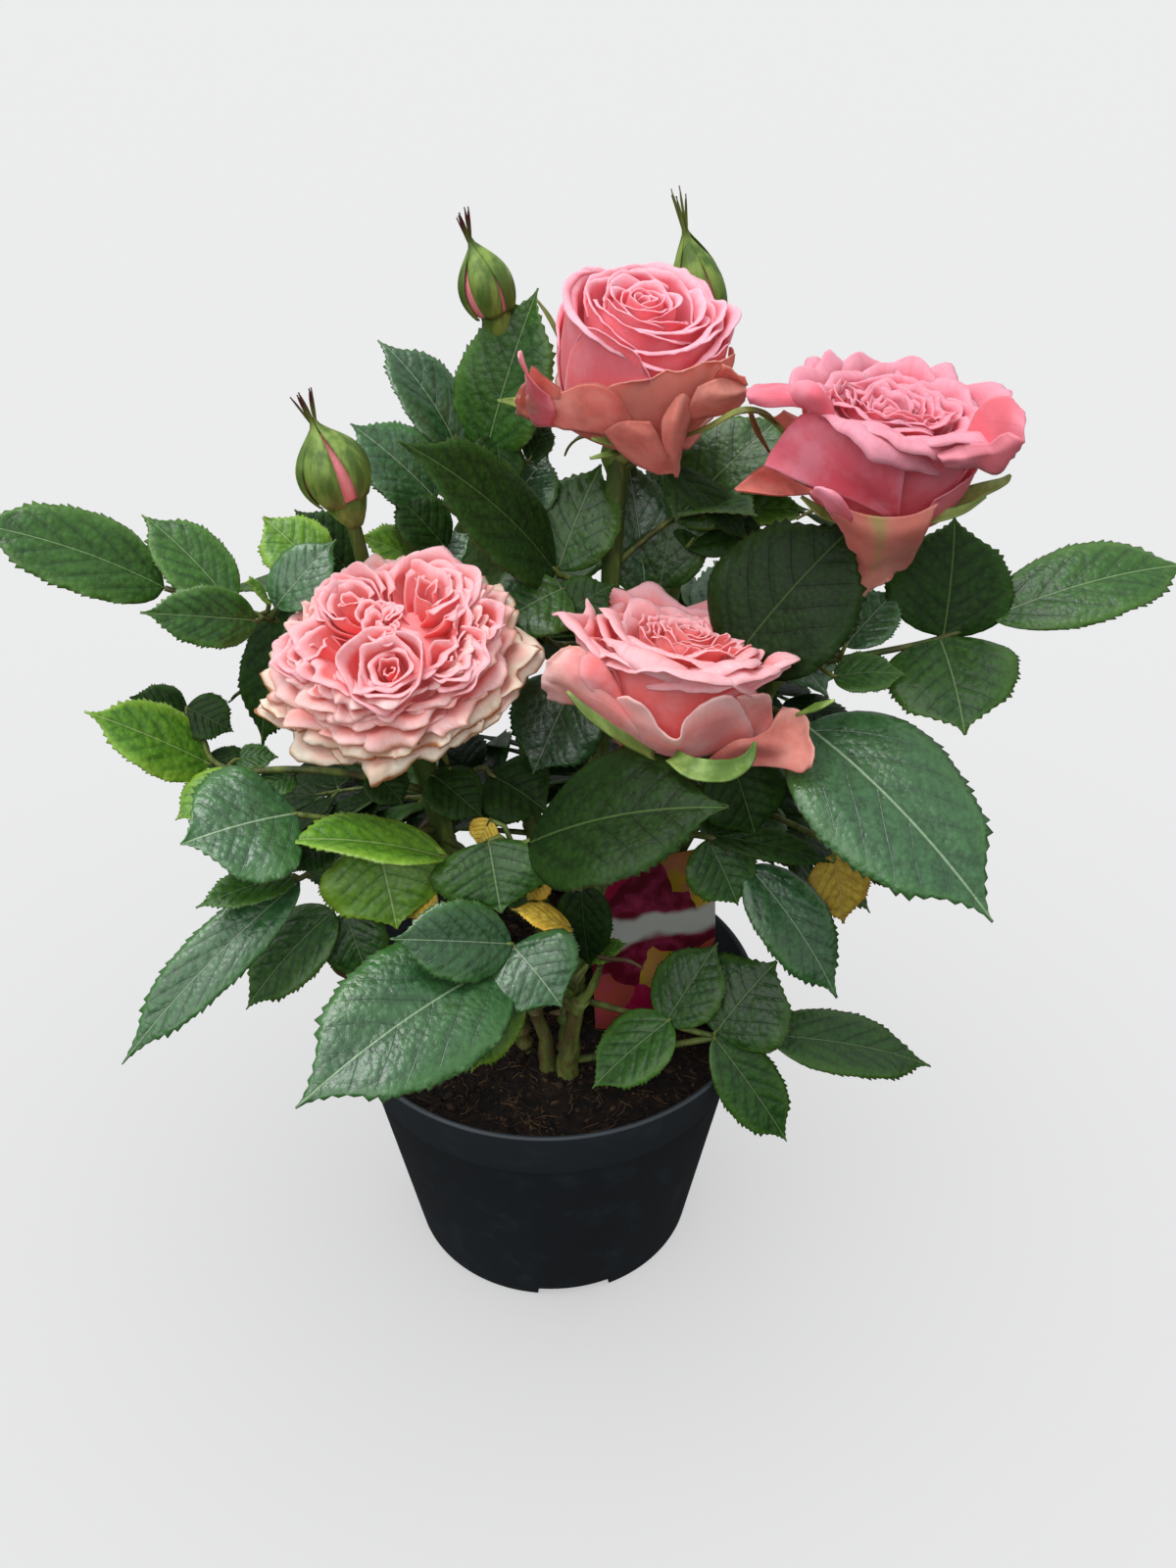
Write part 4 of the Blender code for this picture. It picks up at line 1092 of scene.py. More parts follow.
def make_bloom_top(petals, leafy):
    """Tall urn-shaped bloom with a spiral heart and old guard petals rolled back."""
    cup = ((-2, 2, 8, 20, 32, 40), (4, 9, 17, 22, 23.5, 23.5))
    home = Home((21, 37, 253.5), (0.15, -0.25, 0.95), cup)
    rng = np.random.default_rng(11)
    gather = Gather()
    spiral_heart(gather, home.shifted(-2.0, -0.8), 12, 8.6, 45.0, 1.0, rng, (0.9, 3.0), 40, 12)
    # turn, top, lean, lip, width, droop, power, tilt and ruffle of each
    body = (
        (290, (9.8, 43.6), (40, -4), (2.6, 70), 25, 0.10, 1.6, 0.06, 0.4),
        (215, (10.6, 43.4), (40, -4), (2.2, 70), 28, 0.10, 1.8, -0.12, 0.4),
        (140, (11.2, 44.2), (40, -2), (2.6, 60), 29, 0.10, 1.6, 0.08, 0.6),
        (70, (12.0, 44.2), (40, 0), (2.6, 60), 31, 0.14, 1.5, -0.06, 0.6),
        (10, (12.6, 43.8), (40, 0), (3.2, 70), 30, 0.12, 1.7, 0.07, 0.6),
        (315, (13.4, 43.2), (46, 0), (4.2, 95), 35, 0.10, 2.2, 0.09, 0.4),
        (262, (14.0, 43.0), (46, -4), (2.6, 80), 37, 0.10, 2.0, 0.12, 0.4),
        (195, (15.0, 42.6), (46, -4), (2.8, 80), 38, 0.10, 2.0, 0.06, 0.5),
        (120, (15.8, 43.0), (46, 0), (3.2, 70), 42, 0.10, 1.8, 0.05, 0.7),
        (55, (16.4, 42.6), (46, 2), (3.6, 75), 40, 0.13, 1.6, -0.04, 0.8),
        (0, (17.0, 42.4), (50, 4), (4.4, 85), 39, 0.12, 1.8, 0.05, 0.9),
        (304, (17.6, 42.0), (56, 0), (4.2, 112), 48, 0.10, 2.4, -0.04, 0.4),
        (150, (18.6, 41.0), (56, 0), (3.6, 75), 46, 0.12, 2.0, -0.04, 0.6),
        (80, (19.4, 40.6), (56, 4), (4.2, 75), 50, 0.15, 1.7, 0.03, 1.0),
        (345, (19.8, 41.2), (62, 4), (4.6, 90), 43, 0.14, 1.8, -0.02, 0.9),
        (214, (20.6, 42.4), (66, -4), (3.2, 120), 56, 0.06, 2.6, 0.07, 0.3),
        (25, (21.0, 38.4), (66, 4), (4.2, 80), 44, 0.18, 1.8, 0.0, 0.8),
        (120, (21.8, 36.0), (68, 0), (3.0, 75), 52, 0.18, 2.0, 0.0, 0.5),
        (246, (21.6, 43.2), (72, -8), (1.6, 60), 27, 0.26, 3.4, 0.06, 0.2),
        (322, (21.2, 40.0), (72, -2), (1.8, 70), 30, 0.16, 2.2, -0.05, 0.4),
    )
    for number, (turn, top, lean, lip, width, droop, power, tilt, ruffle) in enumerate(body):
        foot = (min(top[0] * 0.35, 5.0), 5.0) if number > 10 else (top[0] * 0.5, 22.0)
        made = petal(
            home, turn, foot, top, lean, lip, width, droop, power, tilt, 0.94, 0.3, ruffle, 1.6,
            number * 1.3, 0.35, 20, 8, 33)
        take_petal(gather, made, 0.0, FRESH, 0.34)
    front = petal(
        home, 296, (5, 4.5), (23.0, 40.0), (70, -7), (1.3, 70), 58, 0.24, 1.7, -0.08, 1.0, 0.5, 0.8, 3.2,
        2.0, 0.35, 22, 6, 37)
    take_petal(gather, front, 0.25, DUSKY, 0.36)
    for turn, top, last, lip in (
            (60, (20, 12), 62, 9), (115, (20, 11), 66, 9), (20, (19, 12), 62, 8)):
        made = petal(home, turn, (4, 4), top, (84, last), (lip, 60), 30, 0.3, 1.8, 0, 1.3, 0.6, 0.6)
        take_petal(gather, made, 0.6, DUSKY, 0.36)
    left = drape(
        home, ((640, 444, 1.5), (622, 446, 3.0), (600, 442, 5), (572, 438, 7), (545, 432, 9)),
        ((646, 434, 1.5), (628, 426, 5.0), (600, 418, 7), (566, 418, 8), (538, 410, 12)),
        ((640, 418, 1.5), (626, 400, 4.0), (602, 391, 5), (570, 399, 6), (548, 392, 10)),
        rows=26, cols=17, belly=-1.0, tip=0.85, root=0.3)
    take_petal(gather, left, 0.8, DUSKY, 0.4)
    curl = drape(
        home, ((562, 436, 8), (544, 433, 10), (537, 404, 12), (533, 362, 14)),
        ((566, 420, 8), (548, 410, 10), (540, 385, 13), (531, 358, 15)),
        ((562, 404, 8), (546, 392, 13), (534, 376, 17), (527, 366, 19)),
        rows=18, cols=11, belly=0.6, tip=0.95)
    take_petal(gather, curl, 0.2, FRESH, 0.4)
    tucked = drape(
        home, ((572, 396, 6), (556, 384, 9), (540, 372, 13)),
        ((572, 408, 6), (552, 400, 9), (532, 396, 13)), ((572, 424, 6), (548, 428, 9), (524, 422, 13)),
        rows=10, cols=11)
    take_petal(gather, tucked, 1.0, DUSKY, 0.4)
    front = drape(
        home, ((616, 440, 4.0), (634, 462, 4.5), (662, 480, 5.5), (686, 483, 6.0)),
        ((634, 430, 4.5), (654, 446, 7.0), (674, 470, 7.5), (688, 484, 6.5)),
        ((664, 430, 4.0), (674, 448, 5.0), (682, 466, 6.0), (690, 484, 6.0)), rows=20, cols=13, belly=0.6)
    take_petal(gather, front, 0.9, DUSKY, 0.4)
    fold = drape(
        home, ((690, 406, 1.5), (676, 430, 4.5), (678, 456, 6.0), (688, 484, 6.5)),
        ((698, 402, 2.0), (690, 430, 7.0), (687, 458, 7.5), (690, 486, 6.5)),
        ((707, 412, 1.5), (701, 438, 4.0), (695, 462, 5.0), (691, 484, 6.0)), rows=20, cols=11, belly=0.4)
    take_petal(gather, fold, 0.9, DUSKY, 0.4)
    cone = drape(
        home, ((700, 428, 2.0), (722, 425, 4.0), (745, 420, 7.0), (760, 408, 9)),
        ((704, 412, 3.0), (728, 406, 6.0), (748, 404, 9.0), (764, 402, 10)),
        ((712, 394, 2.0), (736, 385, 4.0), (754, 391, 7.0), (763, 398, 9)), rows=18, cols=13, belly=0.6)
    take_petal(gather, cone, 0.8, DUSKY, 0.4)
    behind = drape(
        home, ((726, 400, 1), (730, 384, 3), (736, 373, 5)), ((742, 402, 3), (746, 385, 5), (750, 378, 7)),
        ((752, 404, 5), (758, 397, 7), (764, 394, 9)), rows=10, cols=9)
    take_petal(gather, behind, 1.0, DUSKY, 0.4)
    calyx = Gather()
    hip_and_sepals(calyx, home, 5.0, ((150, 17, 50), (60, 15, 60)), rng)
    sepals_seen(
        calyx, ((3.2, 3.6, 0.5), 0.05, (560, 420, 26), (530, 412, 22), (508, 408, 20)),
        ((1.0, 0.9, 0.2), 0.3, (572, 345, 30), (560, 322, 32), (548, 305, 34)),
        ((1.8, 2.2, 1.8, 1.4, 0.4), 0.35, (690, 448, 20), (722, 436, 8), (755, 419, 2), (782, 422, 4),
         (800, 440, 8)),
        ((0.8, 1.6, 0.3), 0.9, (766, 420, 6), (773, 440, 6), (786, 461, 8)),
        ((2.4, 3.2, 0.4), 0.1, (645, 456, 18), (625, 452, 10), (604, 447, 6)),
        ((1.6, 1.8, 0.4), 0.1, (642, 460, 18), (622, 463, 10), (602, 467, 8)))
    finish_bloom("bloom_top", gather, petals, calyx, leafy)


def make_bloom_right(petals, leafy):
    """Wide cupped bloom with a crumpled heart and broad rolled lips."""
    cup = ((-2, 1, 5, 12, 20, 26), (3, 9, 16, 20, 21, 22))
    home = Home((85, 4, 248), (0.13, -0.05, 1), cup)
    rng = np.random.default_rng(23)
    gather = Gather()
    for k in range(40):
        radius = 0.8 + 13.0 * math.sqrt(k / 40)
        high = 26.8 + 0.16 * radius + rng.uniform(-1.3, 1.1)
        made = petal(
            home.shifted(-2.5, 0.5), GOLDEN_TURN * k + rng.uniform(-50, 50), (radius * 0.55, high - 8),
            (radius, high), (20, rng.uniform(-30, 25)), (rng.uniform(1.4, 3.0), rng.uniform(40, 120)),
            8 + 0.9 * radius, 0.2, rng.uniform(1.3, 2.4), rng.uniform(-0.15, 0.15), rng.uniform(0.45, 1.4),
            0.8, rng.uniform(0.4, 1.1), 2.0, rng.uniform(0, 6), 0.6, 8, 6, 17)
        take_petal(gather, made)
    rings = (
        Ring(6, 30, (5, 10), (14.2, 27.6), (50, 6), (5.0, 110), 22, 0.8, 1.6),
        Ring(5, 20, (5, 8), (16.4, 27.6), (60, 8), (6.5, 115), 29, 0.9, 1.4),
        Ring(5, 50, (5, 5), (18.6, 27.2), (72, 8), (9.0, 118), 34, 1.0, 1.4),
    )
    add_rings(gather, home, rings, rng, 0.9, 0.86, 0.2)
    # turn, top, lean, lip, width, droop, power, tilt and ruffle of each
    outer = (
        (50, (22.4, 25.4), (86, 12), (8.5, 66), 42, 0.07, 3.4, 0.02, 2.2),
        (82, (21.4, 26.2), (86, 10), (7.5, 60), 40, 0.06, 3.2, -0.03, 2.4),
        (112, (22.6, 25.6), (86, 10), (8.0, 62), 42, 0.07, 3.4, 0.03, 2.4),
        (148, (22.4, 26.0), (86, 10), (8.5, 70), 42, 0.08, 3.0, 0.0, 2.0),
        (20, (22.0, 27.0), (86, 8), (10.0, 90), 40, 0.16, 2.0, 0.0, 1.2),
        (205, (19.4, 27.0), (86, 4), (9.0, 110), 36, 0.10, 2.2, 0.0, 1.0),
        (236, (20.2, 26.4), (86, 4), (12.0, 140), 40, 0.10, 2.2, 0.03, 1.1),
        (266, (19.6, 26.8), (88, 2), (13.0, 148), 44, 0.09, 2.4, 0.0, 1.2),
        (300, (20.6, 28.0), (88, 2), (12.5, 140), 42, 0.10, 2.4, 0.0, 1.2),
        (334, (20.0, 28.6), (88, 4), (11.0, 120), 40, 0.10, 2.4, 0.0, 1.2),
    )
    add_outer(gather, home, outer, 1.9)
    for turn, width in ((350, 40), (35, 40), (80, 40), (125, 40), (170, 38)):
        made = petal(
            home, turn, (4, -0.5), (21.8, 19.0), (90, 2), (1.2, 30), width, 0.16, 2.2, 0.0, 1.0, 1.0, 0.3,
            1.4, turn, 0.4, 18, 5, 27)
        take_petal(gather, made, 0.0, FRESH, 0.36)
    pointing = drape(
        home, ((846, 424, 1), (812, 416, 8), (784, 416, 14), (764, 412, 17)),
        ((846, 412, 1), (808, 404, 8), (780, 404, 14), (761, 404, 18)),
        ((846, 400, 1), (804, 392, 7), (774, 392, 13), (761, 396, 17)),
        rows=18, cols=13, belly=1.0, root=0.6, tip=0.85)
    take_petal(gather, pointing, 0.0, FRESH, 0.4)
    under_pointing = drape(
        home, ((846, 438, 1), (824, 430, 4), (800, 418, 8)), ((840, 448, 1), (816, 440, 3), (793, 424, 7)),
        ((830, 460, 1), (806, 448, 3), (788, 426, 7)), rows=12, cols=9, root=0.3, tip=0.6)
    take_petal(gather, under_pointing, 0.2, DUSKY, 0.4)
    rounded = drape(
        home, ((852, 436, 2), (830, 422, 6), (812, 412, 8), (802, 402, 9)),
        ((852, 424, 2), (834, 408, 7), (818, 398, 8), (806, 394, 8)),
        ((850, 410, 2), (838, 396, 6), (828, 388, 6), (818, 387, 6)), rows=16, cols=13, belly=1.2, root=0.6)
    take_petal(gather, rounded, 0.0, FRESH, 0.4)
    corner = drape(
        home, ((908, 529, 0.8), (868, 510, 2.0), (822, 494, 7), (780, 474, 14)),
        ((911, 528, 1.0), (858, 490, 2.6), (812, 466, 7.5), (790, 456, 11)),
        ((913, 528, 1.0), (866, 482, 2.4), (838, 444, 3.6), (822, 421, 5.0)),
        ((915, 528, 1.0), (888, 490, 2.2), (872, 462, 2.6), (862, 438, 2.5)),
        ((917, 528, 1.2), (920, 505, 2.2), (923, 482, 2.4), (926, 462, 2.0)),
        rows=24, cols=33, belly=0.8, root=0.3, tip=0.72)
    take_petal(gather, corner, 0.0, FRESH, 0.4)
    tip = drape(
        home, ((836, 504, 6), (800, 506, 9), (754, 500, 13)),
        ((812, 492, 7), (786, 494, 10), (752, 499, 13)), ((782, 473, 12), (768, 483, 13), (750, 498, 13)),
        rows=16, cols=11, root=0.2, tip=0.6)
    take_petal(gather, tip, 1.0, DUSKY, 0.4)
    hanging = drape(
        home, ((826, 502, 9), (848, 522, 9), (868, 562, 10), (873, 607, 9)),
        ((880, 524, 5), (888, 548, 8), (886, 580, 11), (878, 610, 10)),
        ((925, 526, 5), (918, 550, 8), (906, 578, 10), (892, 602, 9)),
        ((958, 513, 8), (944, 545, 8), (926, 576, 9), (909, 592, 9)),
        rows=24, cols=21, belly=0.6, root=0.45, tip=0.85)
    streak = np.exp(-((np.linspace(-1, 1, 21)[None, :] + 0.12) / 0.13) ** 2) * np.clip(
        1.2 - 1.2 * np.linspace(0, 1, 24), 0, 1)[:, None]
    take_petal(gather, hanging, 0.55, DUSKY, 0.42, np.concatenate((streak.ravel(), streak.ravel())))
    ear = drape(
        home, ((862, 546, 9), (846, 524, 9), (826, 504, 10)),
        ((870, 530, 9), (854, 510, 11), (832, 498, 12)), ((868, 522, 7), (856, 505, 9), (841, 497, 10)),
        rows=14, cols=9, belly=0.6, root=0.7)
    take_petal(gather, ear, 0.0, FRESH, 0.4)
    wing = drape(
        home, ((962, 468, 1), (988, 474, 6), (1016, 476, 12), (1037, 463, 16)),
        ((976, 456, 0), (1002, 456, 6), (1026, 460, 13), (1042, 452, 17)),
        ((988, 440, 0), (1008, 432, 4), (1030, 434, 11), (1047, 440, 16)),
        ((996, 422, -1), (1010, 408, 1), (1030, 406, 6), (1044, 420, 12)),
        rows=20, cols=19, belly=-0.8, ruffle=0.8, root=0.35, tip=0.9)
    take_petal(gather, wing, 0.0, FRESH, 0.42)
    rolled = drape(
        home, ((957, 463, 4), (960, 469, 7), (966, 475, 6)), ((984, 454, 7), (990, 468, 11), (993, 479, 9)),
        ((1010, 450, 12), (1020, 464, 16), (1020, 479, 13)),
        ((1030, 440, 15), (1043, 448, 18), (1040, 460, 17)),
        rows=14, cols=23, belly=1.0, ruffle=0.6, root=0.88, tip=1.0)
    take_petal(gather, rolled, 0.0, FRESH, 0.42)
    calyx = Gather()
    hip_and_sepals(calyx, home, 5.2, ((100, 18, 20), (170, 16, 30)), rng)
    sepals_seen(
        calyx,
        ((3.0, 5.2, 4.6, 2.2, 0.4), 0.35, (905, 535, 0), (950, 525, -6), (990, 505, -6), (1022, 492, -4),
         (1031, 484, -3)),
        ((3.0, 3.4, 2.2, 0.3), 0.1, (925, 538, -6), (955, 528, -12), (982, 520, -12), (1006, 506, -10)),
        ((3.0, 3.2, 0.5), 0.15, (860, 532, -6), (840, 524, -8), (818, 506, -6)),
        ((1.0, 1.4, 0.4), 0.3, (800, 440, 4), (790, 430, 6), (775, 421, 6)))
    finish_bloom("bloom_right", gather, petals, calyx, leafy)


def make_bloom_front(petals, leafy):
    """Saucer-topped bloom over a deep cup, with folded guard petals."""
    cup = ((-2, 1, 5, 12, 20, 27), (3, 9, 15, 20, 22.5, 24.5))
    home = Home((30, -21, 191), (0.17, 0.16, 1), cup)
    rng = np.random.default_rng(37)
    gather = Gather()
    heart = home.shifted(3.4, 4.0)
    spiral_heart(gather, heart, 9, 6.0, 33.6, 1.0, rng, (0.9, 2.2), 80, 8)
    for k in range(40):
        radius = 6.6 + 0.19 * k
        made = petal(
            heart, GOLDEN_TURN * k + 20, (radius * 0.7, 22), (radius, 32.6 + rng.uniform(-0.7, 0.5)),
            (30, rng.uniform(-20, 14)), (rng.uniform(1.2, 2.4), rng.uniform(50, 110)), rng.uniform(7, 12),
            0.2, rng.uniform(1.4, 2.2), rng.uniform(-0.12, 0.12), rng.uniform(0.3, 1.1), 0.8,
            rng.uniform(0.2, 0.8), 2.0, rng.uniform(0, 6), 0.6, 8, 6, 17)
        take_petal(gather, made)
    rings = (
        Ring(5, 15, (5, 10), (12.6, 31.2), (60, 10), (5.0, 105), 25, 0.8, 1.5),
        Ring(5, 50, (5, 8), (15.4, 31.4), (66, 10), (7.0, 112), 30, 0.9, 1.5),
        Ring(5, 20, (5, 6), (18.4, 30.8), (72, 10), (9.0, 116), 35, 1.0, 1.4),
    )
    add_rings(gather, home, rings, rng, 0.8, 0.86, 0.2)
    # turn, top, lean, lip, width, droop, power, tilt and ruffle of each
    outer = (
        (95, (24.2, 30.4), (84, 14), (7.5, 55), 43, 0.07, 3.2, 0.0, 1.8),
        (140, (24.4, 30.0), (84, 16), (8.0, 65), 43, 0.07, 3.2, 0.03, 2.0),
        (50, (24.4, 30.4), (84, 14), (8.0, 65), 43, 0.07, 3.2, 0.0, 1.8),
        (10, (23.4, 29.6), (84, 12), (9.5, 90), 42, 0.08, 3.0, 0.0, 1.4),
        (178, (23.4, 29.2), (84, 16), (8.0, 90), 40, 0.07, 3.0, 0.0, 1.6),
        (216, (20.8, 28.2), (84, 6), (10.5, 132), 48, 0.08, 2.6, 0.0, 0.9),
        (312, (21.0, 28.6), (86, 6), (10.5, 130), 50, 0.08, 2.6, 0.0, 1.0),
        (262, (22.2, 28.0), (86, 4), (12.0, 142), 56, 0.08, 2.8, 0.0, 0.9),
        (352, (22.8, 29.8), (86, 12), (10.0, 100), 36, 0.10, 2.4, 0.0, 1.1),
    )
    add_outer(gather, home, outer, 2.1)
    first = drape(
        home, ((624, 744, 1.5), (616, 728, 2.0), (614, 712, 2.5)),
        ((646, 758, 1.5), (646, 736, 2.2), (650, 714, 3.0)),
        ((668, 768, 1.8), (668, 756, 2.8), (672, 742, 4.0)),
        ((692, 774, 2.0), (692, 764, 4.0), (692, 755, 6.0)),
        ((712, 773, 2.0), (706, 750, 3.2), (704, 729, 3.0)),
        ((736, 768, 1.8), (740, 738, 2.6), (746, 710, 3.4)),
        ((766, 764, 1.5), (770, 757, 2.2), (772, 748, 3.0)),
        rows=16, cols=43, belly=0.0, root=0.45, tip=0.92)
    take_petal(gather, first, 0.15, BLUSH, 0.4)
    side = drape(
        home, ((766, 752, 1.0), (764, 736, 2.0), (752, 712, 2.6)),
        ((778, 752, 1.0), (780, 732, 2.4), (774, 708, 3.0)),
        ((788, 746, 1.0), (788, 728, 2.4), (786, 708, 3.0)), rows=12, cols=11, root=0.4, tip=0.85)
    take_petal(gather, side, 0.2, BLUSH, 0.4)
    lower = drape(
        home, ((718, 778, 2.0), (748, 757, 5.0), (772, 751, 7.0), (784, 742, 7.0), (798, 718, 6.0)),
        ((726, 782, 3.0), (756, 764, 6.5), (784, 757, 9.5), (800, 746, 10.0), (814, 724, 8.5)),
        ((734, 784, 3.5), (768, 770, 7.5), (800, 768, 11.5), (820, 760, 13.0), (826, 742, 11.5)),
        ((742, 785, 3.5), (772, 782, 7.5), (800, 784, 11.5), (816, 788, 14), (828, 780, 14.5)),
        rows=24, cols=17, belly=0.6, root=0.4, tip=0.92)
    take_petal(gather, lower, 0.6, DUSKY, 0.42)
    left_out = drape(
        home, ((664, 768, 1.5), (628, 750, 4), (590, 722, 8), (560, 714, 12)),
        ((650, 744, 2.0), (612, 720, 6), (582, 704, 10), (555, 698, 14)),
        ((632, 716, 2.0), (604, 694, 6), (580, 680, 10), (558, 676, 13)),
        ((622, 696, 1.5), (602, 668, 4), (588, 658, 7), (570, 662, 11)),
        rows=24, cols=21, belly=0.8, ruffle=0.5, root=0.4)
    take_petal(gather, left_out, 1.0, BLUSH, 0.4)
    left_in = drape(
        home, ((640, 724, 1.0), (622, 716, 3.5), (606, 706, 7), (594, 700, 8)),
        ((636, 712, 1.0), (614, 698, 4.5), (594, 690, 8), (579, 688, 10)),
        ((630, 698, 1.0), (610, 682, 4.0), (592, 674, 7), (577, 675, 10)),
        ((622, 684, 1.0), (610, 670, 2.5), (600, 665, 4), (590, 665, 7)),
        rows=18, cols=17, belly=0.8, root=0.5, tip=1.0)
    take_petal(gather, left_in, 0.0, FRESH, 0.4)
    calyx = Gather()
    hip_and_sepals(calyx, home, 5.4, ((110, 18, 30), (60, 16, 40)), rng)
    sepals_seen(
        calyx,
        ((2.6, 3.2, 2.4, 0.4), 0.15, (668, 772, -42), (640, 756, -46), (602, 729, -46), (579, 705, -42)))
    ribbon(
        calyx,
        picture_line((686, 772, -44), (708, 785, -50), (740, 787, -50), (762, 776, -46), (771, 757, -44)),
        [4.0, 5.6, 5.6, 3.2, 0.4], UP * 0.6 - FORWARD, 0.0)
    sepals_seen(
        calyx, ((0.6, 2.4, 0.4), 0.0, (812, 729, -30), (832, 722, -34), (851, 714, -36)))
    finish_bloom("bloom_front", gather, petals, calyx, leafy)


def full_dome(reach):
    """Height of the very full bloom's face at a distance from its axis."""
    return 33.0 - 0.0150 * reach ** 2 - 1.6 * np.exp(-(reach / 4.0) ** 2)


def make_bloom_left(petals, leafy):
    """Very full quartered bloom past its best, its outer petals gone cream and brown."""
    home = Home((-34, -17, 205), (-0.16, -0.44, 1))
    rng = np.random.default_rng(59)
    gather = Gather()
    core = [home.place(0, 0, high) for high in (4, 12, 18, 22, 23.5)]
    gather.take(*tube(core, [8, 15, 16, 12, 5], 24))
    # compass place of each quarter, how far out, its radius, how many petals, how far each wraps
    quarters = (
        (131, 10.5, 11.5, 7, 250), (46, 12.0, 12.5, 7, 240), (188, 13.5, 9.0, 5, 210),
        (4, 16.0, 8.0, 4, 190), (330, 13.5, 10.0, 6, 200), (282, 9.5, 9.6, 8, 290))
    for turn, reach, size, count, wrap in quarters:
        cos_t, sin_t = compass(turn)
        crown = full_dome(reach)
        axis = home.up + 0.030 * reach * (home.right * cos_t + home.back * sin_t)
        local = Home(home.place(reach * cos_t, reach * sin_t, crown - 13.2), axis)
        bearing = turn - math.degrees(math.atan2(local.right.dot(home.back), local.right.dot(home.right)))
        for k in range(count):
            share = (k + 0.5) / count
            radius = 0.6 + (size - 0.6) * share
            swing = GOLDEN_TURN * k if wrap > 280 or k < 2 else rng.uniform(-38, 38)
            made = petal(
                local, bearing + swing, (radius * 0.6, 2.0),
                (radius, 12.4 - 1.2 * share ** 2 + rng.uniform(-0.5, 0.5)), (12, rng.uniform(-14, 6)),
                (1.2 + 3.0 * share * rng.uniform(0.7, 1.3), rng.uniform(50, 100)),
                radius * math.radians(wrap - 60 * share), rng.uniform(0.06, 0.16), rng.uniform(1.4, 2.4),
                rng.uniform(-0.08, 0.08), rng.uniform(0.85, 1.1), 0.08 * radius + 0.2,
                0.15 + 0.075 * radius, rng.uniform(1.6, 3.4), rng.uniform(0, 6), 0.8, 7, 6, 31)
            take_petal(gather, made, 0.0, FRESH, 0.30)
    for k in range(9):
        turn = 40 * k + 12
        reach = rng.uniform(1, 4)
        cos_t, sin_t = compass(turn)
        made = fold_loop(
            home, reach * cos_t, reach * sin_t, turn + rng.uniform(-60, 60), rng.uniform(1.8, 3.4),
            rng.uniform(1.2, 2.4), rng.uniform(90, 150), full_dome, 7.0, (1.8, 80), rng.uniform(0, 6), 0.4, 25)
        take_petal(gather, made, 0.0, FRESH, 0.4)
    rings = (
        Ring(11, 0, (6, 12), (19.4, 28.1), (50, 30), (3.7, 72), 20, 1.1, 2.2, 0.10),
        Ring(12, 16, (6, 10), (21.6, 26.3), (55, 38), (3.9, 70), 20, 1.2, 2.4, 0.12, BLUSH, 0.1),
        Ring(12, 5, (6, 8), (23.7, 24.2), (60, 46), (4.1, 68), 21, 1.3, 2.6, 0.14, BLUSH, 0.3),
        Ring(12, 20, (6, 6), (25.7, 21.8), (66, 54), (4.3, 66), 22, 1.4, 2.6, 0.14, BLUSH, 0.6),
        Ring(12, 8, (6, 5), (27.8, 19.1), (72, 60), (4.5, 66), 25, 1.4, 2.4, 0.13, BLUSH, 0.9),
        Ring(11, 26, (6, 3), (29.6, 16.4), (80, 66), (4.8, 66), 28, 1.5, 2.2, 0.14, CREAM, 0.8),
        Ring(10, 4, (6, 1), (31.0, 13.8), (88, 72), (5.2, 66), 33, 1.6, 2.0, 0.15, CREAM, 1.0),
    )
    add_rings(gather, home, rings, rng, 1.3, 1.15, 1.1, 9, 8, 23, 0.19)
    calyx = Gather()
    hip_and_sepals(calyx, home, 5.4, ((250, 20, 60), (300, 18, 60), (160, 18, 50), (60, 18, 50)), rng)
    finish_bloom("bloom_left", gather, petals, calyx, leafy)


def bud_outline(t):
    """Outline of a bud, t from its foot to the tips of its sepals."""
    swell = math.sin(math.pi * min(1, 0.22 + t / 0.77 * 0.78))
    return max(1.1 * swell ** (0.8 + 1.0 * max(0.0, t - 0.3) / 0.7) * (1 - 0.22 * t), 0.10)


